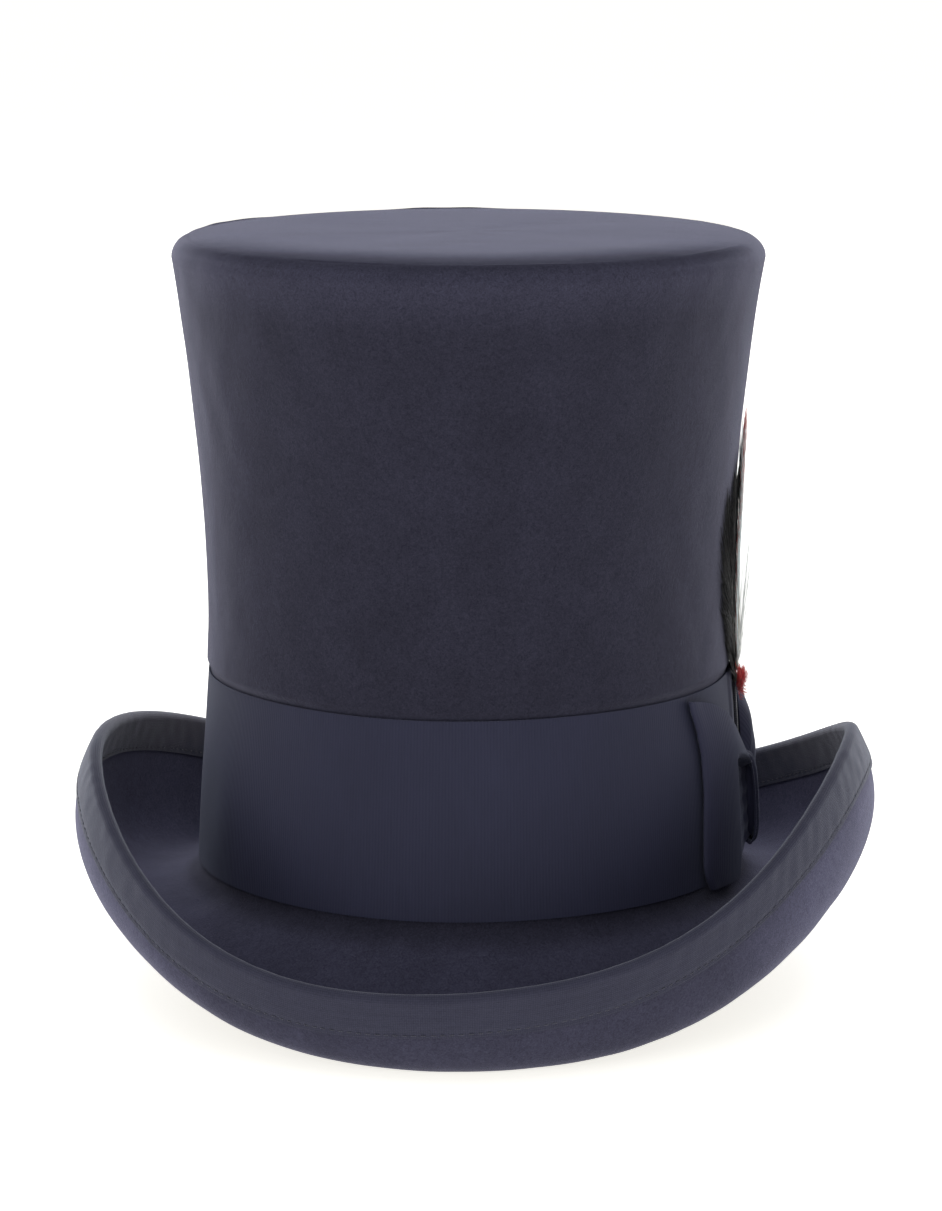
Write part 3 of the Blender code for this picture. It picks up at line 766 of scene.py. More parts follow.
def brim_at(angles, runs, depths):
    """Offsets and heights in the brim at runs back from the rim, depths below the upper face."""
    lines, lefts = brim_lines(angles)
    ways = unit(np.gradient(lines, axis=1))
    runs = np.broadcast_to(runs, (len(angles), np.shape(runs)[-1]))
    depths = np.broadcast_to(depths, runs.shape)
    out = np.empty((*runs.shape, 2))
    for row in range(len(angles)):
        left = lefts[row, ::-1]
        at = [np.interp(runs[row], left, lines[row, ::-1, axis]) for axis in (0, 1)]
        way = [np.interp(runs[row], left, ways[row, ::-1, axis]) for axis in (0, 1)]
        out[row, :, 0] = at[0] + way[1] * depths[row]
        out[row, :, 1] = at[1] - way[0] * depths[row]
    return out


def felt_lines(angles):
    """The outside of the felt per direction: tip corner, crown, root and brim, to the edge."""
    count = len(angles)
    corner_height = TIP_HEIGHT - TIP_EDGE_DROP - TIP_CORNER * cos(TIP_EDGE_SLOPE)
    corner_offset = float(wall(corner_height)) - TIP_CORNER
    turn = (pi / 2 - TIP_EDGE_SLOPE) * (1.0 - evenly(13)[:-1])
    corner = np.array([corner_offset, corner_height]) + TIP_CORNER * together(np.cos(turn), np.sin(turn))
    heights = np.concatenate([
        np.linspace(corner_height, WAIST_HEIGHT, 40)[:-1],
        np.linspace(WAIST_HEIGHT, BULGE_END, 8)[:-1],
        np.linspace(BULGE_END, BULGE_START, 9)[:-1],
        np.linspace(BULGE_START, FOOT_HEIGHT, 14),
    ])
    crown = together(wall(heights), heights)
    fixed = np.concatenate([corner, crown])
    fixed = np.broadcast_to(fixed, (count, *fixed.shape))
    slope = blend(ROOT_SLOPE_ENDS, ROOT_SLOPE_SIDES, np.cos(angles) ** 2)
    root_offset, root_height = BRIM_ROOT
    bend = together(FOOT_OFFSET, root_height - (root_offset - FOOT_OFFSET) * np.tan(slope))
    share = evenly(8)[1:-1][None, :, None]
    rest = 1.0 - share
    root = rest ** 2 * np.array([FOOT_OFFSET, FOOT_HEIGHT]) + 2 * rest * share * bend[:, None]
    root = root + share ** 2 * np.array(BRIM_ROOT)
    _, lefts = brim_lines(angles)
    shares = evenly(56)
    runs = lefts[:, :1] + (FELT_EDGE_RUN - lefts[:, :1]) * shares
    brim = brim_at(angles, runs, np.zeros(56))
    return np.concatenate([fixed, root, brim], axis=1)


def build_felt():
    angles = turns(288)
    outer = felt_lines(angles)
    along = np.gradient(outer, axis=1)
    along[:, 0] = (cos(TIP_EDGE_SLOPE), -sin(TIP_EDGE_SLOPE))
    along = unit(along)
    normal = together(-along[..., 1], along[..., 0])
    crown_wave = Ripple(3, 26, 1, 9)
    fine_wave = Ripple(5, 40, 6, 40)
    spin = angles[:, None]
    height = outer[..., 1]
    step = lengths_along(outer)
    wave = 0.00030 * crown_wave(spin, step) + 0.00007 * fine_wave(spin, step, 260.0)
    under_band = smooth((0.1050 - height) / 0.004) * smooth((height - 0.0330) / 0.004)
    edge = smooth((step[:, -1:] - step) / 0.020)
    wave = wave * (1.0 - under_band) * edge
    outer = outer + normal * wave[..., None]
    inner = outer - normal * FELT
    tip_shares = 1.0 - np.linspace(0.012, 0.98, 44) ** 1.3
    tip_wave = Ripple(9, 18, 1, 6)

    def tip_rows(ring, drop):
        rows = ring * LEVEL * tip_shares[None, :, None]
        dome = TIP_EDGE_DROP * tip_shares ** 8
        rows[..., 2] = TIP_HEIGHT - drop - dome + 0.00022 * tip_wave(spin, 0.05 * tip_shares) * (
            np.sin(pi * np.clip(tip_shares, 0, 1)) ** 0.8)
        return rows

    def face(lines, drop):
        points = oval(spin, lines[..., 0], lines[..., 1])
        return np.concatenate([tip_rows(points[:, :1], drop)[:, ::-1], points], axis=1)

    outside, inside = face(outer, 0.0), face(inner, FELT)
    loops = np.concatenate([outside, inside[:, ::-1]], axis=1)
    stations, count = loops.shape[:2]
    faces, places = quads(stations, count, wrap_first=True)
    travel = ring_run(angles)
    section = lengths_along(loops[0])
    lay = tube_lay(travel, np.append(section, section[-1]))
    tip_count = len(tip_shares)
    # The lay's third channel: above 0 the tip's streaks and painted light, fading out towards the tip's
    # edge and into the corner; below 0 where the brim is painted paler.
    on_tip = np.zeros(count + 1)
    on_tip[:tip_count] = 1.0 - 0.75 * smooth((tip_shares[::-1] - 0.90) / 0.08)
    on_tip[tip_count:tip_count + 4] = np.linspace(0.2, 0.0, 4)
    lay[..., 2] = on_tip[None, :]

    # The brim's share of the felt, where painted light makes it paler.
    def brim_part(lines):
        return smooth((lines[..., 0] - 0.004) / 0.006) * (lines[..., 1] < 0.11)

    bare = np.zeros((stations, tip_count))
    on_brim = np.concatenate([bare, brim_part(outer), brim_part(inner)[:, ::-1], bare], axis=1)
    lay[..., 2] -= np.pad(on_brim, ((0, 1), (0, 1)), mode="wrap")
    corner_lays = lay.reshape(-1, 3)[places].reshape(-1, 3)
    faces = faces.tolist()
    faces += end_discs(stations, count)
    ends = np.concatenate([lay[:-1, 0], lay[:-1, count - 1][::-1]])
    corner_lays = np.concatenate([corner_lays, ends])
    made = make_piece("felt_shell", loops.reshape(-1, 3), faces, FELT_FINISH, corner_lays)
    declare(made, "hat", "felt_body")
    return made


felt = build_felt()


# ---------------------------------------------------------------- rim

def binding_line(width, cover):
    """Runs and depths of the binding's outer face: over the top, round the nose, back below."""
    radius = FELT / 2 + cover
    flat = np.linspace(width, radius, 22)
    turn = np.linspace(0.0, pi, 15)[1:-1]
    runs = np.concatenate([flat, radius - radius * np.sin(turn), flat[::-1]])
    depths = np.concatenate([
        np.full(22, -cover), FELT / 2 - radius * np.cos(turn), np.full(22, FELT + cover)
    ])
    return runs, depths


def build_binding():
    stations = 1100
    angles = turns(stations)
    travel = ring_travel(angles)
    runs, depths = binding_line(BINDING_WIDTH, GAP + BINDING / 2)
    wander = Ripple(21, 14, 2, 17)
    sway = 0.00025 * wander(angles[:, None], 0.0)
    pucker = np.cos(2 * pi * travel / STITCH_PITCH)[:, None]
    to_edge = BINDING_WIDTH - runs[None, :]
    facing = np.where(np.arange(len(runs)) < len(runs) / 2, -1.0, 1.0)[None, :]
    seam = np.exp(-((to_edge - STITCH_INSET) / 0.0007) ** 2)
    lip = np.exp(-(to_edge / 0.0004) ** 2)
    drag = Ripple(23, 30, 20, 150)
    ripple = 0.00007 * drag(angles[:, None], runs[None, :], 500.0) * smooth(to_edge / 0.004)
    depth = depths[None, :] - facing * (
        seam * (0.00022 + 0.00007 * pucker) + lip * 0.00012 - ripple
    )
    run = runs[None, :] + sway * smooth((runs[None, :] - 0.003) / 0.008)
    section = brim_at(angles, run, depth)
    grid = oval(angles[:, None], section[..., 0], section[..., 1])
    across = lengths_along(together(runs, depths))
    travel = ring_run(angles) * 1.45
    made = shell("rim_binding", grid, travel, across, BINDING, BINDING_FINISH, ring=True)
    declare(made, "hat", "brim_binding")
    return made


def ring_stitches(name, offset_at, dip, finish, pitch, length, radius):
    """Separate stitches round a closed line.

    offset_at gives offset and height per direction, dip the way in which stitch ends sink in.
    """
    dense = np.linspace(0.0, 2.0 * pi, 2881)
    line = offset_at(dense)
    points = oval(dense, line[:, 0], line[:, 1])
    lengths = lengths_along(points)
    number = int(lengths[-1] / pitch)
    starts = np.arange(number) * lengths[-1] / number
    jitter = dice.uniform(-0.06, 0.06, number) * pitch
    shares = evenly(7)
    at = (starts + jitter)[:, None] + shares[None, :] * length
    at = at % lengths[-1]
    paths = together(*(np.interp(at, lengths, points[:, axis]) for axis in range(3)))
    sink = dip(points)
    sunk = together(*(np.interp(at, lengths, sink[:, axis]) for axis in range(3)))
    paths = paths + sunk * (np.abs(2 * shares - 1.0) ** 3)[None, :, None] * radius * 1.6
    radii = radius * np.clip(1.15 - np.abs(2 * shares - 1.0) ** 4 * 0.5, 0.3, 1.0)
    return rods(name, paths, np.broadcast_to(radii, at.shape), finish, sides=5)


def inward(points):
    """Unit vectors from points on the hat towards its axis."""
    return unit(-points * LEVEL)


def outward(points):
    return -inward(points)


def build_wire():
    """Spring wire round the rim inside the binding, its ends crimped in a tube at the back."""
    turn = turns(10)
    for name, node, slot, finish, low, high, count, radius, crimped in (
        ("rim_wire", "brim_wire", "spring_steel", STEEL_FINISH, 0.004, 2 * pi - 0.004, 900, 0.0007, 0.0),
        ("rim_wire_joiner", "wire_joiner", "brass", BRASS_FINISH, -0.17, 0.17, 60, 0.0010, 0.00012),
    ):
        angles = np.linspace(BACK + low, BACK + high, count)
        crimp = crimped * np.cos(np.linspace(0.0, 10 * pi, count))
        section = np.stack([
            brim_at(angles, np.array([WIRE_RUN + radius * c]), np.array([FELT / 2 + radius * s]))[:, 0]
            + crimp[:, None] * np.array([c, s]) for c, s in zip(np.cos(turn), np.sin(turn))
        ], axis=1)
        loops = oval(angles[:, None], section[..., 0], section[..., 1])
        travel = np.append(ring_travel(angles % (2 * pi)), 0.0)
        lay = tube_lay(travel, np.linspace(0.0, 2 * pi * radius, 11))
        made = tube(name, loops, lay, finish, ring=False)
        declare(made, "hat", node)


build_wire()


def rim_line(depth):
    """The stitch line of the binding, at a depth below the felt's upper face."""
    def line(angles):
        return brim_at(angles, np.array([BINDING_WIDTH - STITCH_INSET]), np.array([depth]))[:, 0]
    return line


binding = build_binding()
seam_depth = GAP + BINDING - 0.00008
upper_stitches = ring_stitches(
    "rim_stitches_above", rim_line(-seam_depth), outward, NAVY_THREAD,
    pitch=STITCH_PITCH, length=0.0019, radius=0.00017,
)
lower_stitches = ring_stitches(
    "rim_stitches_below", rim_line(FELT + seam_depth), inward, NAVY_THREAD,
    pitch=STITCH_PITCH, length=0.0019, radius=0.00017,
)
for piece in (upper_stitches, lower_stitches):
    declare(piece, "hat")


# ---------------------------------------------------------------- ribbon band

def ribs(distance):
    """How far the ribbon's ribs stand up along it."""
    return RIB_HEIGHT * np.abs(np.sin(pi * distance / RIB_PITCH))


def build_band():
    """One turn of ribbon: it starts and ends, lapped over itself, below the bow."""
    length = ring_length(0.0005)
    count = int((length + 2 * LAP) / RIB_PITCH * 5)
    distance = np.linspace(-LAP, length + LAP, count)
    fine = np.linspace(-0.6, 2 * pi + 0.6, 6001)
    travel = travel_along(fine)
    angle = np.interp(distance * ring_length() / length, travel - np.interp(0.0, fine, travel), fine)
    raised = RIBBON * 1.25 * smooth((distance - (length - LAP - 0.004)) / 0.004)
    share = evenly(12)
    lows = Ripple(31, 10, 1, 7)
    height = blend(BAND_BOTTOM, BAND_TOP, share)[None, :] + 0.00022 * lows(angle[:, None], 0.0)
    buckle = Ripple(33, 24, 2, 22)
    middle = np.sin(pi * share)[None, :]
    puff = 0.00018 * (1.0 + buckle(angle[:, None], height, 90.0)) * middle
    offset = wall(np.clip(height, FOOT_HEIGHT, BULGE_START)) + GAP + RIBBON / 2 + puff + raised[:, None]
    offset = offset - 0.00018 * share[None, :] ** 8
    picot = 3.0 * ribs(distance)
    height[:, 0] -= picot
    height[:, -1] += picot
    grid = oval(angle[:, None], offset, height)
    made = shell(
        "ribbon_band", grid, distance, share * (BAND_TOP - BAND_BOTTOM), RIBBON, BAND_FINISH,
        rib=ribs(distance),
    )
    declare(made, "hat", "hat_band")


build_band()


# ---------------------------------------------------------------- bow

def band_front(height):
    """Outer face of the band."""
    return wall(np.clip(height, FOOT_HEIGHT, BULGE_START)) + GAP + RIBBON + 0.0004


def curve_through(points, count):
    """A smooth curve through points, evenly spaced along its length."""
    points = np.asarray(points, float)
    ends = np.concatenate([[2 * points[0] - points[1]], points, [2 * points[-1] - points[-2]]])
    fine = []
    for k in range(len(points) - 1):
        a, b, c, d = ends[k:k + 4]
        share = np.linspace(0.0, 1.0, 40, endpoint=False)[:, None]
        fine.append(0.5 * (2 * b + (c - a) * share + (2 * a - 5 * b + 4 * c - d) * share ** 2
                           + (3 * b - a - 3 * c + d) * share ** 3))
    fine = np.concatenate([*fine, points[-1:]])
    lengths = lengths_along(fine)
    at = np.linspace(0.0, lengths[-1], count)
    return together(*(np.interp(at, lengths, column) for column in fine.T)), at


# Ribbon's way round a loop, from below the knot along the band to the fold and back above:
# millimetres from the knot's middle, and millimetres off the band.
FLAT_WAY = [(2.0, 0.6), (14.0, 0.6), (30.0, 0.6), (44.0, 0.6), (54.0, 0.7), (57.4, 1.0)]
FRONT_WAY = FLAT_WAY + [
    (58.4, 1.8), (56.4, 2.9), (51.0, 3.9), (44.0, 4.7), (38.0, 5.1), (30.0, 5.4), (22.0, 5.8),
    (14.0, 6.1), (6.0, 6.0), (2.0, 5.4),
]
REAR_WAY = FLAT_WAY + [
    (58.6, 2.0), (56.4, 3.4), (51.0, 4.8), (44.0, 6.2), (36.0, 7.6), (28.0, 8.8), (20.0, 9.4),
    (12.0, 9.0), (6.0, 7.4), (2.0, 5.4),
]
# Millimetres from the knot, then the lowest and highest edge of the ribbon there.
FRONT_EDGES = [(2, 44.0, 68.4), (6, 43.0, 68.8), (12, 40.6, 70.2), (19, 38.4, 73.6), (25, 37.2, 77.6),
               (30, 36.9, 81.8), (36, 36.8, 87.0), (42, 36.8, 91.8), (50, 36.8, 97.2), (56, 36.8, 99.0),
               (60, 36.8, 99.6)]
REAR_EDGES = [(2, 43.0, 72.0), (5, 41.0, 80.0), (9, 39.2, 85.6), (14, 38.2, 88.4), (20, 37.8, 90.4),
              (26, 37.6, 91.2), (32, 37.4, 92.0), (40, 37.2, 92.6), (50, 37.0, 96.4), (60, 37.0, 98.0)]
# Millimetres from the knot, then how far the pleat's floor stays off the band.
PLEAT_FLOOR = [(2, 4.6), (5, 3.0), (9, 1.6), (14, 1.2), (26, 1.1), (31, 1.3), (34, 2.4), (37, 4.4),
               (41, 9.0), (60, 9.0)]
# Millimetres from the knot, then the share of the ribbon that stays up above the pleat.
PLEAT_LIP = [(2, 0.03), (12, 0.03), (19, 0.05), (25, 0.10), (30, 0.16), (38, 0.25), (60, 0.25)]
# Share of the way up the ribbon, then how much further out its fold lies, in millimetres.
FOLD_REACH = [(0.00, -2.0), (0.05, 1.2), (0.12, 2.6), (0.30, 1.6), (0.50, 0.0), (0.70, 0.6), (0.85, 3.4),
              (0.95, 6.6), (1.00, 7.4)]


def soften(values, reach=20):
    """A running mean that rounds off the corners between the entries of a table."""
    kernel = np.hanning(2 * reach + 1)
    return np.convolve(np.pad(values, reach, mode="edge"), kernel / kernel.sum(), "valid")


def build_loop(name, node, side, loop_way, edges, pleat_share, seed):
    """One loop of the bow: ribbon out along the band, folded, and back over itself.

    pleat_share is how much of the deep pleat below its upper edge it has; a loop without the
    pleat has rounded cheeks near the knot instead.
    """
    way, run = curve_through(np.array(loop_way) / 1000.0, 640)
    distance, off = way[:, 0], way[:, 1]
    share = evenly(49)

    def looked_up(table, column=1):
        table = np.array(table)
        return np.interp(distance * 1000.0, table[:, 0], table[:, column])

    low = soften(looked_up(edges, 1) / 1000.0)
    high = soften(looked_up(edges, 2) / 1000.0)
    outer = smooth((run - run[np.argmax(distance)]) / 0.006)[:, None]
    floor = looked_up(PLEAT_FLOOR) / 1000.0
    depth = pleat_share * soften(np.maximum(off - floor, 0.0), 7)[:, None] * outer
    wide = (share - 0.5)[None, :]
    near_knot = smooth(1.0 - (distance[:, None] - 0.004) / 0.030)
    lip = soften(looked_up(PLEAT_LIP), 7)[:, None]
    valley = smooth((1.0 - lip - share[None, :]) / 0.07 + 0.5)
    pleat = np.cos(9 * pi * share)[None, :] * 0.0002 * near_knot * outer
    droop = np.abs(2 * wide) ** 5 * 0.0010 * outer
    standing = off[:, None] - depth * valley - droop * (1.0 - 0.8 * near_knot) + pleat
    cheek = (1.0 - pleat_share) * smooth(1.0 - (distance[:, None] - 0.008) / 0.034) * outer
    rounding = np.abs(2 * wide) ** np.where(wide > 0.0, 5.5, 3.2)
    standing = standing - cheek * np.maximum(standing - 0.0022, 0.0) * rounding
    wander = Ripple(seed, 12, 1, 4)
    standing = standing + 0.00014 * wander(run[:, None] * 60.0, share[None, :] * 0.06, 60.0) * outer
    standing = np.maximum(standing, 0.00045)
    end = smooth((distance[:, None] - 0.040) / 0.018)
    fold = np.array(FOLD_REACH)
    fold = soften(np.interp(share, fold[:, 0], fold[:, 1] / 1000.0), 2)
    reach = distance[:, None] + end * fold[None, :]
    height = low[:, None] + (high - low)[:, None] * share[None, :]
    grid = oval(side_angle(side * reach), band_front(height) + standing, height)
    made = shell(name, grid, run, share * RIBBON_WIDTH, RIBBON, BOW_FINISH, rib=ribs(run))
    declare(made, "hat", node)


build_loop("bow_loop_front", "bow_front_loop", -1.0, FRONT_WAY, FRONT_EDGES, 1.0, 41)
build_loop("bow_loop_rear", "bow_rear_loop", 1.0, REAR_WAY, REAR_EDGES, 0.12, 43)


def build_knot():
    """A narrow strap of the same ribbon round the middle of the bow, over its gathered folds."""
    way, run = curve_through([
        (0.0022, 0.0500), (0.0018, 0.0450), (0.0022, 0.0426), (0.0038, 0.0413), (0.0056, 0.0424),
        (0.0066, 0.0470), (0.0069, 0.0540), (0.0069, 0.0600), (0.0066, 0.0655), (0.0056, 0.0697),
        (0.0038, 0.0708), (0.0022, 0.0696), (0.0018, 0.0665), (0.0022, 0.0610),
    ], 520)
    share = np.linspace(-1.0, 1.0, 25)
    off, height = way[:, 0], way[:, 1]
    middle_height = 0.0561
    waist = 0.0056 + 0.0008 * ((height - middle_height) / 0.014) ** 2
    place = share[None, :] * waist[:, None]
    gathers = 0.00025 * np.cos(3.5 * pi * share)[None, :] - 0.0010 * np.abs(share[None, :]) ** 3
    outside = smooth((off - 0.003) / 0.0025)[:, None]
    standing = off[:, None] + gathers * outside
    height = height[:, None] + 0.0002 * np.cos(9 * share)[None, :]
    grid = oval(side_angle(place), band_front(height) + standing, height)
    made = shell("bow_knot_strap", grid, run, (share + 1) * 0.0063, RIBBON, BAND_FINISH, rib=ribs(run))
    turn = turns(72)
    folds = 1.0 + 0.03 * np.cos(9 * turn)
    stations = np.linspace(-0.0052, 0.0052, 14)
    swell = 1.0 - 0.10 * (stations / 0.0052) ** 4
    standing = 0.0040 + 0.0021 * np.cos(turn)[None, :] * folds * swell[:, None]
    rise = middle_height + 0.0132 * np.sin(turn)[None, :] * folds * swell[:, None]
    loops = oval(side_angle(stations)[:, None], band_front(rise) + standing, rise)
    lay = tube_lay(np.append(stations, 0.0), np.linspace(0.0, 0.09, 73))
    core = tube("bow_gathered_middle", loops, lay, BAND_FINISH, ring=False)
    declare(made, "hat", "bow_knot")
    declare(core, "hat")


build_knot()


# ---------------------------------------------------------------- inside of the crown

def lining_face(height):
    return wall(height) - FELT - GAP


def sweatband_face(height):
    return lining_face(height) - LINING - GAP


def ring_sheet(name, low, high, rows, offset_at, thickness, finish, stations=480):
    angles = turns(stations)
    heights = np.linspace(low, high, rows)
    offset = offset_at(angles[:, None], heights[None, :])
    height = np.broadcast_to(heights, offset.shape)
    travel = ring_run(angles)
    grid = oval(angles[:, None], offset, height)
    return shell(name, grid, travel, heights - low, thickness, finish, ring=True)


leather_wave = Ripple(51, 20, 2, 14)
sweatband = ring_sheet(
    "leather_sweatband", SWEATBAND_BOTTOM, SWEATBAND_TOP, 26,
    lambda angle, height: sweatband_face(height) - LEATHER / 2 - 0.0002
    + 0.00016 * leather_wave(angle, height) - 0.0002 * smooth((height - 0.076) / 0.004),
    LEATHER, LEATHER_FINISH,
)
declare(sweatband, "hat", "sweatband")


def leather_inside(height):
    """A level line round the inner face of the sweatband."""
    def line(angles):
        offset = sweatband_face(height) - LEATHER - 0.0002
        return together(float(offset), np.full(len(angles), height))
    return line


band_stitches = ring_stitches(
    "sweatband_stitches", leather_inside(SWEATBAND_BOTTOM + 0.0030), outward, PALE_THREAD,
    pitch=0.0032, length=0.0022, radius=0.00020,
)
top_stitches = ring_stitches(
    "sweatband_top_stitches", leather_inside(SWEATBAND_TOP - 0.0022), outward, PALE_THREAD,
    pitch=0.0026, length=0.0017, radius=0.00018,
)
for piece in (band_stitches, top_stitches):
    declare(piece, "hat")


def build_reed():
    """The reed in its stitched leather roll, at the sweatband's lower edge."""
    angles = turns(720)
    centre = float(sweatband_face(REED_HEIGHT)) - LEATHER / 2
    turn = turns(14)
    twist = 0.00012 * np.cos(ring_travel(angles) * 2 * pi / 0.0036)[:, None]
    radius = REED_RADIUS + twist * 0.5
    offset = centre + radius * np.cos(turn)[None, :]
    height = REED_HEIGHT + radius * np.sin(turn)[None, :]
    loops = oval(angles[:, None], offset, height)
    travel = ring_run(angles)
    lay = tube_lay(travel, np.linspace(0.0, 2 * pi * REED_RADIUS, 15))
    made = tube("sweatband_reed_roll", loops, lay, REED_FINISH)
    declare(made, "hat", "sweatband_reed")


build_reed()

gather_wave = Ripple(61, 12, 40, 110)
soft_wave = Ripple(63, 18, 2, 12)
side_lining = ring_sheet(
    "side_lining_satin", LINING_BOTTOM, LINING_TOP, 60,
    lambda angle, height: lining_face(height) - LINING / 2
    - 0.00035 * (1.2 + soft_wave(angle, height)) * smooth((height - 0.082) / 0.02)
    - 0.00030 * (1.0 + gather_wave(angle, height, 20.0)) * smooth((height - 0.195) / 0.04),
    LINING * 0.6, SATIN_FINISH, stations=900,
)
declare(side_lining, "hat", "lining_side")


def flat_cloth(name, outline_at, height, thickness, finish, wave, stations=240, rings=24):
    """A flat piece of cloth with a given outline, softly uneven, seen from below."""
    angles = turns(stations)
    shares = evenly(rings + 1)[1:]
    edge = outline_at(angles)
    grid = np.zeros((stations, rings, 3))
    grid[..., :2] = edge[:, None, :] * shares[None, :, None]
    grid[..., 2] = height + wave(angles[:, None], 0.05 * shares[None, :], 40.0) * 0.00012
    loops = np.concatenate([grid, grid[:, ::-1] - np.array([0.0, 0.0, thickness])], axis=1)
    count = loops.shape[1]
    faces, _ = quads(stations, count, wrap_first=True)
    faces = faces.tolist()
    faces += end_discs(stations, count)
    points = loops.reshape(-1, 3)
    lays = points[np.concatenate([np.asarray(f) for f in faces])]
    return make_piece(name, points, faces, finish, lays, sharp=CLOTH_EDGE)


tip_reach = float(lining_face(LINING_TIP_HEIGHT)) - GAP - 0.0006
tip_lining = flat_cloth(
    "tip_lining_satin", lambda angles: oval(angles, tip_reach, 0.0)[:, :2],
    LINING_TIP_HEIGHT + LINING * 0.8, LINING * 0.6, SATIN_FINISH, Ripple(65, 14, 1, 7),
)
patch = flat_cloth(
    "lining_patch_satin",
    lambda angles: together(PATCH_HALF_WIDTH * np.cos(angles), PATCH_HALF_LENGTH * np.sin(angles)),
    LINING_TIP_HEIGHT - 0.0004, LINING * 0.6, PATCH_FINISH, Ripple(67, 10, 1, 5),
    stations=120, rings=12,
)
patch_dots = turns(PATCH_STITCHES)
seam_across, seam_along = PATCH_HALF_WIDTH - 0.0016, PATCH_HALF_LENGTH - 0.0016
patch_line = together(seam_across * np.cos(patch_dots), seam_along * np.sin(patch_dots))
patch_way = unit(together(-seam_across * np.sin(patch_dots), seam_along * np.cos(patch_dots)))
shares = np.linspace(-0.5, 0.5, 5)
patch_paths = np.zeros((len(patch_dots), len(shares), 3))
patch_paths[..., :2] = patch_line[:, None] + patch_way[:, None] * shares[None, :, None] * 0.0012
patch_paths[..., 2] = LINING_TIP_HEIGHT - 0.00078 + 0.0008 * (2 * shares[None, :]) ** 4 * 0.1
patch_stitches = rods(
    "patch_stitches", patch_paths, np.full(patch_paths.shape[:2], 0.00012), NAVY_THREAD, sides=5,
)
declare(tip_lining, "hat", "lining_tip")
declare(patch, "hat", "lining_patch")
declare(patch_stitches, "hat")


def inside_back(distance, standing, height):
    """A point at the back of the sweatband, standing off its inner face towards the head."""
    angle = np.interp(distance, BACK_TRAVEL, BACK_ANGLES)
    face = sweatband_face(height) - LEATHER - 0.0003
    return oval(angle, face - standing, height)


def build_sweatband_bow():
    """A small flat ribbon bow: two loops and a wrapped middle."""
    half, count = 0.0118, 220
    t = evenly(count)
    place = half * np.sin(2 * pi * t)
    standing = 0.0008 + 0.00062 * (1.0 - np.cos(4 * pi * t)) * np.where(t < 0.5, 1.0, 0.35)
    share = np.linspace(-1.0, 1.0, 13)
    width = 0.0022 + 0.0028 * smooth(np.abs(place) / half)
    height = SMALL_BOW_HEIGHT + share[None, :] * width[:, None]
    puff = 0.0003 * np.cos(3 * pi * share)[None, :] * (1 - np.abs(place[:, None]) / half)
    out = standing[:, None] + puff
    grid = inside_back(place[:, None], out, height)
    run = np.linspace(0.0, 0.050, count)
    made = shell("sweatband_bow_ribbon", grid, run, (share + 1) * 0.005, 0.0003, BAND_FINISH,
                 rib=ribs(run))
    turn = np.linspace(0.0, 2 * pi, 90)
    wrap_height = SMALL_BOW_HEIGHT + 0.0030 * np.sin(turn)
    wrap_off = 0.0014 - 0.0012 * np.cos(turn)
    across = np.linspace(-0.0016, 0.0016, 9)
    grid = inside_back(across[None, :], wrap_off[:, None], wrap_height[:, None])
    wrap = shell("sweatband_bow_wrap", grid, turn * 0.0022, across + 0.0016, 0.0003, BAND_FINISH)
    declare(made, "hat", "sweatband_bow")
    declare(wrap, "hat")


build_sweatband_bow()


def build_tag():
    """A blank woven tag, folded once and sewn on at its top."""
    t = evenly(60)
    height = 0.0598 - 0.0146 * np.minimum(t, 1.0 - t) * 2
    standing = np.where(t < 0.5, 0.00040, 0.00100) + 0.0003 * np.sin(pi * t)
    place = np.linspace(0.022, 0.036, 12)
    grid = inside_back(place[None, :], standing[:, None], height[:, None])
    made = shell("size_tag_cloth", grid, t * 0.030, place, 0.00022, TAG_FINISH)
    declare(made, "hat", "size_tag")


build_tag()


# ---------------------------------------------------------------- feather spray

def on_crown(distance, standing, height):
    """A point on the left of the crown, standing off the wall above the band."""
    return oval(side_angle(distance), np.maximum(wall(height), 0.0) + standing, height)


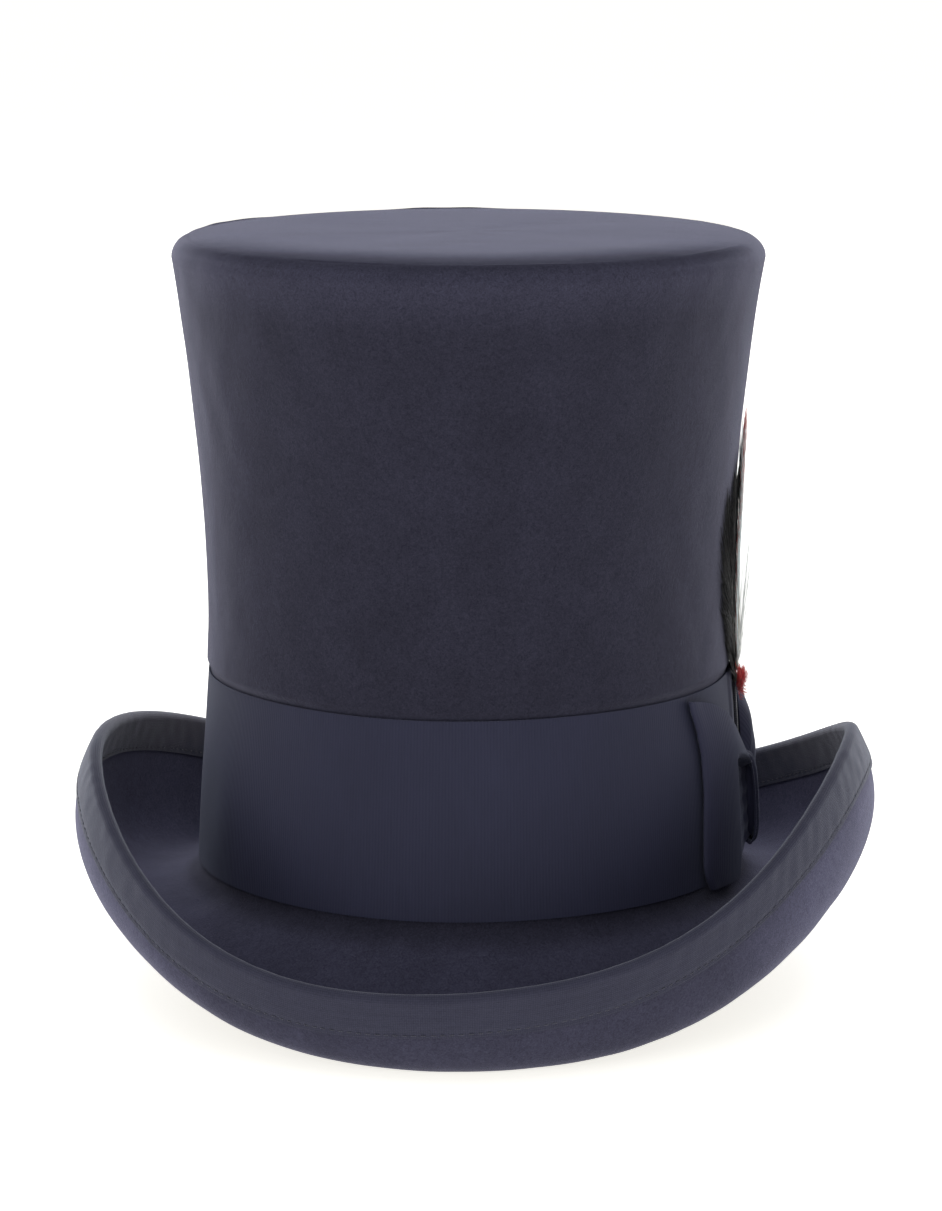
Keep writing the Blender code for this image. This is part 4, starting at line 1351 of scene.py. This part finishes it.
def build_feather(name, base, top, bow, front, rear, standing, barbs, finish, seed, node,
                  loose=0.12, fullness_base=0.35, stiff=0.00022):
    """One feather on the crown's side: a tapering shaft and separate barbs on both sides.

    base and top are (distance, height); bow bends the shaft forward; front and rear are the
    vane's greatest widths; standing is how far the shaft stands off the wall.
    """
    draw = np.random.RandomState(seed)
    base, top = np.array(base), np.array(top)
    chord = top - base
    length = np.linalg.norm(chord)
    chord_way = chord / length
    square = np.array([-chord_way[1], chord_way[0]])

    def shaft(t):
        t = np.asarray(t)[..., None]
        return base + chord * t + square * bow * np.sin(pi * t * 0.9) * t ** 0.6

    def shaft_off(t):
        over_band = max(standing, 0.0020)
        rest = blend(over_band, standing, smooth((np.asarray(t) - 0.03) / 0.06))
        rest = rest * (1.0 - 0.65 * np.asarray(t) ** 3)
        return rest + 0.0005 * np.sin(pi * np.asarray(t) * 0.95)

    def width_at(t, full):
        grow = fullness_base + (1.0 - fullness_base) * smooth(t / 0.30)
        shrink = np.sqrt(np.clip(1.0 - ((t - 0.45) / 0.56).clip(0) ** 2.4, 0.0, 1.0))
        return full * grow * (0.12 + 0.88 * shrink)

    paths, radii, lays = [], [], []
    points = 9
    s = evenly(points)
    for side, full in ((1.0, front), (-1.0, rear)):
        t = np.linspace(0.03, 0.985, barbs) + draw.uniform(-0.3, 0.3, barbs) / barbs
        tuft = np.interp(t, np.linspace(0, 1, 24), draw.normal(0.0, 1.0, 24))
        ragged = 0.10 * draw.normal(0, 1, barbs).clip(-1.5, 1.5) + 0.06 * tuft
        reach = width_at(t, full) * (1.0 + ragged)
        way = unit(shaft(t + 0.01) - shaft(t - 0.01))
        normal = together(-way[:, 1], way[:, 0]) * side
        lean = 1.00 - 0.40 * t + 0.056 * tuft + draw.normal(0, 0.02 + loose * 0.2, barbs)
        lean = lean.clip(0.35, 1.15)
        bend = (0.45 + draw.normal(0, loose * 0.6, barbs)).clip(0.1, 0.7)
        angle = lean[:, None] * (1.0 - bend[:, None] * s[None, :])
        step = together(np.sin(angle), np.cos(angle))
        out = np.cumsum(step[..., 0], axis=1) - step[:, :1, 0]
        forward = np.cumsum(step[..., 1], axis=1) - step[:, :1, 1]
        scale = (reach / out[:, -1])[:, None]
        root = shaft(t)
        flat = root[:, None, :] + normal[:, None, :] * (out * scale)[..., None]
        flat = flat + way[:, None, :] * (forward * scale)[..., None]
        outer = (s ** 2)[None, :]
        off = shaft_off(t)[:, None] + 0.0006 * outer * draw.uniform(-0.6, 1.0, barbs)[:, None]
        off = off - 0.0008 * outer * (full / 0.02) + 0.00012 * draw.normal(0, 1, barbs)[:, None]
        off = np.maximum(off, 0.0006)
        paths.append(on_crown(flat[..., 0], off, flat[..., 1]))
        radii.append(stiff * (1.0 - 0.80 * s ** 1.3)[None, :] * draw.uniform(0.75, 1.2, barbs)[:, None])
        own = draw.uniform(0, 1, barbs)
        lays.append(together(s[None, :], t[:, None], own[:, None]))
    paths = np.concatenate(paths)
    vane = rods(name, paths, np.concatenate(radii), finish, sides=4, lays=np.concatenate(lays),
                flat=0.30, up=unit(paths * LEVEL))
    t = np.linspace(0.0, 0.97, 40)
    line = shaft(t)
    path = on_crown(line[:, 0], shaft_off(t) + 0.0001, line[:, 1])[None]
    radius = (0.00055 * (1.0 - t) ** 0.7 + 0.00008)[None]
    lay = together(t, t, 0.5)[None]
    quill = DARK_QUILL_FINISH if finish is BLACK_BARBS else QUILL_FINISH
    shaft_piece = rods(name + "_shaft", path, radius, quill, sides=8, lays=lay)
    declare(vane, "feather_spray", node)
    declare(shaft_piece, "feather_spray")


for name, base, top, bow, front, rear, standing, barbs, seed, node in (
    ("front", (-0.010, 0.0965), (-0.023, 0.1500), 0.004, 0.013, 0.014, 0.0009, 300, 71, "feather_black"),
    ("middle", (-0.004, 0.0965), (-0.014, 0.1550), 0.002, 0.015, 0.016, 0.0010, 300, 72, None),
    ("rear", (0.002, 0.0965), (0.008, 0.1500), -0.001, 0.014, 0.015, 0.0009, 280, 73, None),
):
    build_feather("black_feather_" + name, base, top, bow, front, rear, standing, barbs, BLACK_BARBS,
                  seed, node, fullness_base=0.9, stiff=0.00036)
build_feather("pale_feather", (-0.001, 0.0985), (-0.002, 0.1640), -0.002, 0.016, 0.015, 0.0026, 170,
              PALE_BARBS, 81, "feather_pale", loose=0.25, fullness_base=0.7)
build_feather("red_feather", (0.001, 0.1000), (-0.004, 0.1790), -0.0015, 0.0120, 0.0080, 0.0022, 190,
              RED_BARBS, 91, "feather_red", loose=0.25, fullness_base=0.15)


def build_down():
    """A tuft of soft red strands that spill over the band's edge."""
    draw = np.random.RandomState(101)
    number, count = 420, 9
    s = evenly(count)[None, :]
    start = draw.uniform(-0.0085, 0.0035, number)[:, None]
    heading = draw.normal(0.0, 0.75, number)[:, None] + (start + 0.0025) * 90.0
    length = draw.uniform(0.004, 0.0085, number)[:, None]
    curl = draw.normal(0.0, 0.9, number)[:, None]
    angle = heading + curl * s
    place = start + np.cumsum(np.sin(angle), axis=1) * length / count
    rise = np.cumsum(np.cos(angle), axis=1) * length / count * 0.9
    height = np.maximum(0.0922 + draw.uniform(0.0, 0.003, number)[:, None] + rise, 0.0905)
    loft = draw.uniform(0.0, 0.0012, number)[:, None]
    loft = loft + draw.uniform(0.0, 0.0032, number)[:, None] * s ** 1.2
    off = 0.0029 - 0.0019 * smooth((height - 0.0975) / 0.004) + loft
    paths = on_crown(place, off, height)
    radii = 0.00011 * (1.0 - 0.7 * s) * draw.uniform(0.7, 1.2, number)[:, None]
    lays = together(s, s * 0.5 + 0.2, draw.uniform(0, 1, number)[:, None])
    made = rods("red_down_tuft", paths, np.broadcast_to(radii, off.shape), RED_DOWN, sides=4, lays=lays)
    declare(made, "feather_spray", "red_fluff")


build_down()


def build_filaments():
    """Long stripped white barbs in front of the other feathers, in three small sprays."""
    draw = np.random.RandomState(111)
    number, foot = 7, 0.1010
    s = evenly(24)[None, :]
    spots = [(-0.005, -0.008, 0.150), (0.000, 0.002, 0.158), (0.005, 0.009, 0.146)]
    for index, (middle, spread, top) in enumerate(spots, start=1):
        start = middle + draw.uniform(-0.0015, 0.0015, number)[:, None]
        lean = spread + draw.normal(0.0, 0.0035, number)[:, None]
        peak = top + draw.uniform(-0.018, 0.004, number)[:, None]
        height = blend(foot, peak, s)
        off = 0.0026 + (0.0026 + draw.uniform(0.0, 0.0046, number)[:, None]) * s ** 0.9 - 0.0016 * s ** 3
        paths = on_crown(start + lean * s ** 1.5, off, height)
        radii = 0.00010 * (1.0 - 0.75 * s) + np.zeros((number, 1))
        lays = together(s, s, draw.uniform(0, 1, number)[:, None])
        made = rods(f"white_filaments_{index}", paths, radii, WHITE_BARBS, sides=4, lays=lays)
        declare(made, "feather_spray", f"filament_{index}")


build_filaments()


def build_quill_wrap():
    """Black thread wound round the bundled quills."""
    turns_of_thread, per_turn = 34, 26
    t = np.linspace(0.0, 1.0, turns_of_thread * per_turn)
    spin = t * turns_of_thread * 2 * pi
    height = blend(WRAP_BOTTOM, WRAP_TOP, t)
    half_width = 0.0024
    squash = 0.0005
    across = half_width * np.sign(np.cos(spin)) * np.abs(np.cos(spin)) ** 0.7
    off = band_front(height) + 0.0011 + squash * np.sign(np.sin(spin)) * np.abs(np.sin(spin)) ** 0.7
    path = oval(side_angle(across), off, height)[None]
    made = rods("quill_thread", path, np.full((1, len(t)), 0.00026), BLACK_THREAD, sides=5,
                up=path * LEVEL + np.array([0.0, 0.0, 0.3]))
    declare(made, "feather_spray", "quill_wrap")
    ends = np.linspace(-half_width, half_width, 5)
    s = evenly(24)[None, :]
    height = blend(QUILL_BOTTOM, QUILL_TOP, s) + np.zeros((5, 1))
    narrow = 0.62 + 0.14 * smooth((height - 0.070) / 0.012)
    tucked = band_front(height) + blend(0.0007, 0.0011, smooth((height - 0.068) / 0.006))
    clear = np.maximum(wall(height), 0.0) + 0.0016
    off = blend(tucked, clear, smooth((height - 0.0940) / 0.004))
    paths = oval(side_angle(ends[:, None] * narrow), off, height)
    lays = together(s, s + np.zeros((5, 1)), 0.5)
    quills = rods("quill_ends", paths, np.full((5, 24), 0.00042), DARK_QUILL_FINISH, sides=8, lays=lays)
    declare(quills, "feather_spray")


build_quill_wrap()


# ---------------------------------------------------------------- studio

# Name, place, width, height, power and colour of each softbox; all of them aim at the hat.
SOFTBOX_AIM = (0.0, 0.0, 0.12)
SOFTBOXES = [
    ("overhead", (0.0, 0.2, 1.6), 1.8, 1.8, 14.5, (0.93, 0.95, 1.0)),
    ("back", (0.0, 2.6, 1.1), 3.0, 1.5, 50.0, (0.93, 0.95, 1.0)),
    ("front", (-0.3, -2.2, 1.0), 1.4, 1.2, 12.5, (1.0, 1.0, 1.0)),
    ("front_top", (0.0, -1.3, 1.7), 1.6, 1.2, 2.9, (0.95, 0.97, 1.0)),
    ("left_side", (-1.6, 0.6, 0.5), 0.9, 1.2, 4.9, (1.0, 1.0, 1.0)),
    ("right_side", (1.6, 0.6, 0.5), 0.9, 1.2, 4.9, (1.0, 1.0, 1.0)),
]
CAMERA_PLACE = (0.0008, -1.571, 0.3755)
CAMERA_DIP = radians(9.237)
CAMERA_LENS = 143.1
FLOOR_HALF = 16.0


def build_floor():
    """Pale paper, which glows a little more far from the hat."""
    lowest = min((o.matrix_world @ v.co).z for o in (felt, binding) for v in o.data.vertices)
    paper = Finish("pale_floor", roughness=0.7, Specular_IOR_Level=0.2)
    spot = paper.spot()
    tone = paper.noise(spot, 3.0, 2.0)
    paper.shader.inputs["Emission Color"].default_value = (1.0, 0.98, 0.91, 1.0)
    across, away = paper.part(spot, 0), paper.part(spot, 1)
    far = paper.math("SQRT", paper.plus(paper.times(across, across), paper.times(away, away)))
    paper.feed(paper.shader.inputs["Emission Strength"], paper.spread(far, 0.9, 2.4, 0.80, 1.0))
    paper.done(paper.mix(tone, rgb(0.70, 0.70, 0.695), rgb(0.74, 0.74, 0.735)))
    ticks = np.linspace(-FLOOR_HALF, FLOOR_HALF, 17)
    points = np.stack(np.meshgrid(ticks, ticks, [lowest - 0.0002], indexing="ij"), axis=-1)
    faces, _ = quads(17, 17)
    make_piece("floor", points.reshape(-1, 3), faces, paper.material, recalculate=False)


def build_studio():
    scene = bpy.context.scene
    world = bpy.data.worlds.new("studio")
    world.use_nodes = True
    background = world.node_tree.nodes["Background"]
    background.inputs["Color"].default_value = (1.0, 1.0, 1.0, 1.0)
    background.inputs["Strength"].default_value = 0.115
    scene.world = world
    scene.view_settings.view_transform = "Standard"
    for name, spot, width, height, power, colour in SOFTBOXES:
        data = bpy.data.lights.new(name, "AREA")
        data.shape = "RECTANGLE"
        data.size = width
        data.size_y = height
        data.energy = power
        data.color = colour
        lamp = bpy.data.objects.new(name, data)
        scene.collection.objects.link(lamp)
        lamp.location = spot
        away = Vector(np.array(spot) - np.array(SOFTBOX_AIM))
        lamp.rotation_euler = away.to_track_quat("Z", "Y").to_euler()
    data = bpy.data.cameras.new("camera")
    data.lens = CAMERA_LENS
    data.sensor_width = 36.0
    data.sensor_fit = "AUTO"
    data.clip_start = 0.05
    data.clip_end = 60.0
    camera = bpy.data.objects.new("camera", data)
    scene.collection.objects.link(camera)
    camera.location = CAMERA_PLACE
    camera.rotation_euler = (pi / 2 - CAMERA_DIP, 0.0, 0.0)
    scene.camera = camera


build_floor()
build_studio()
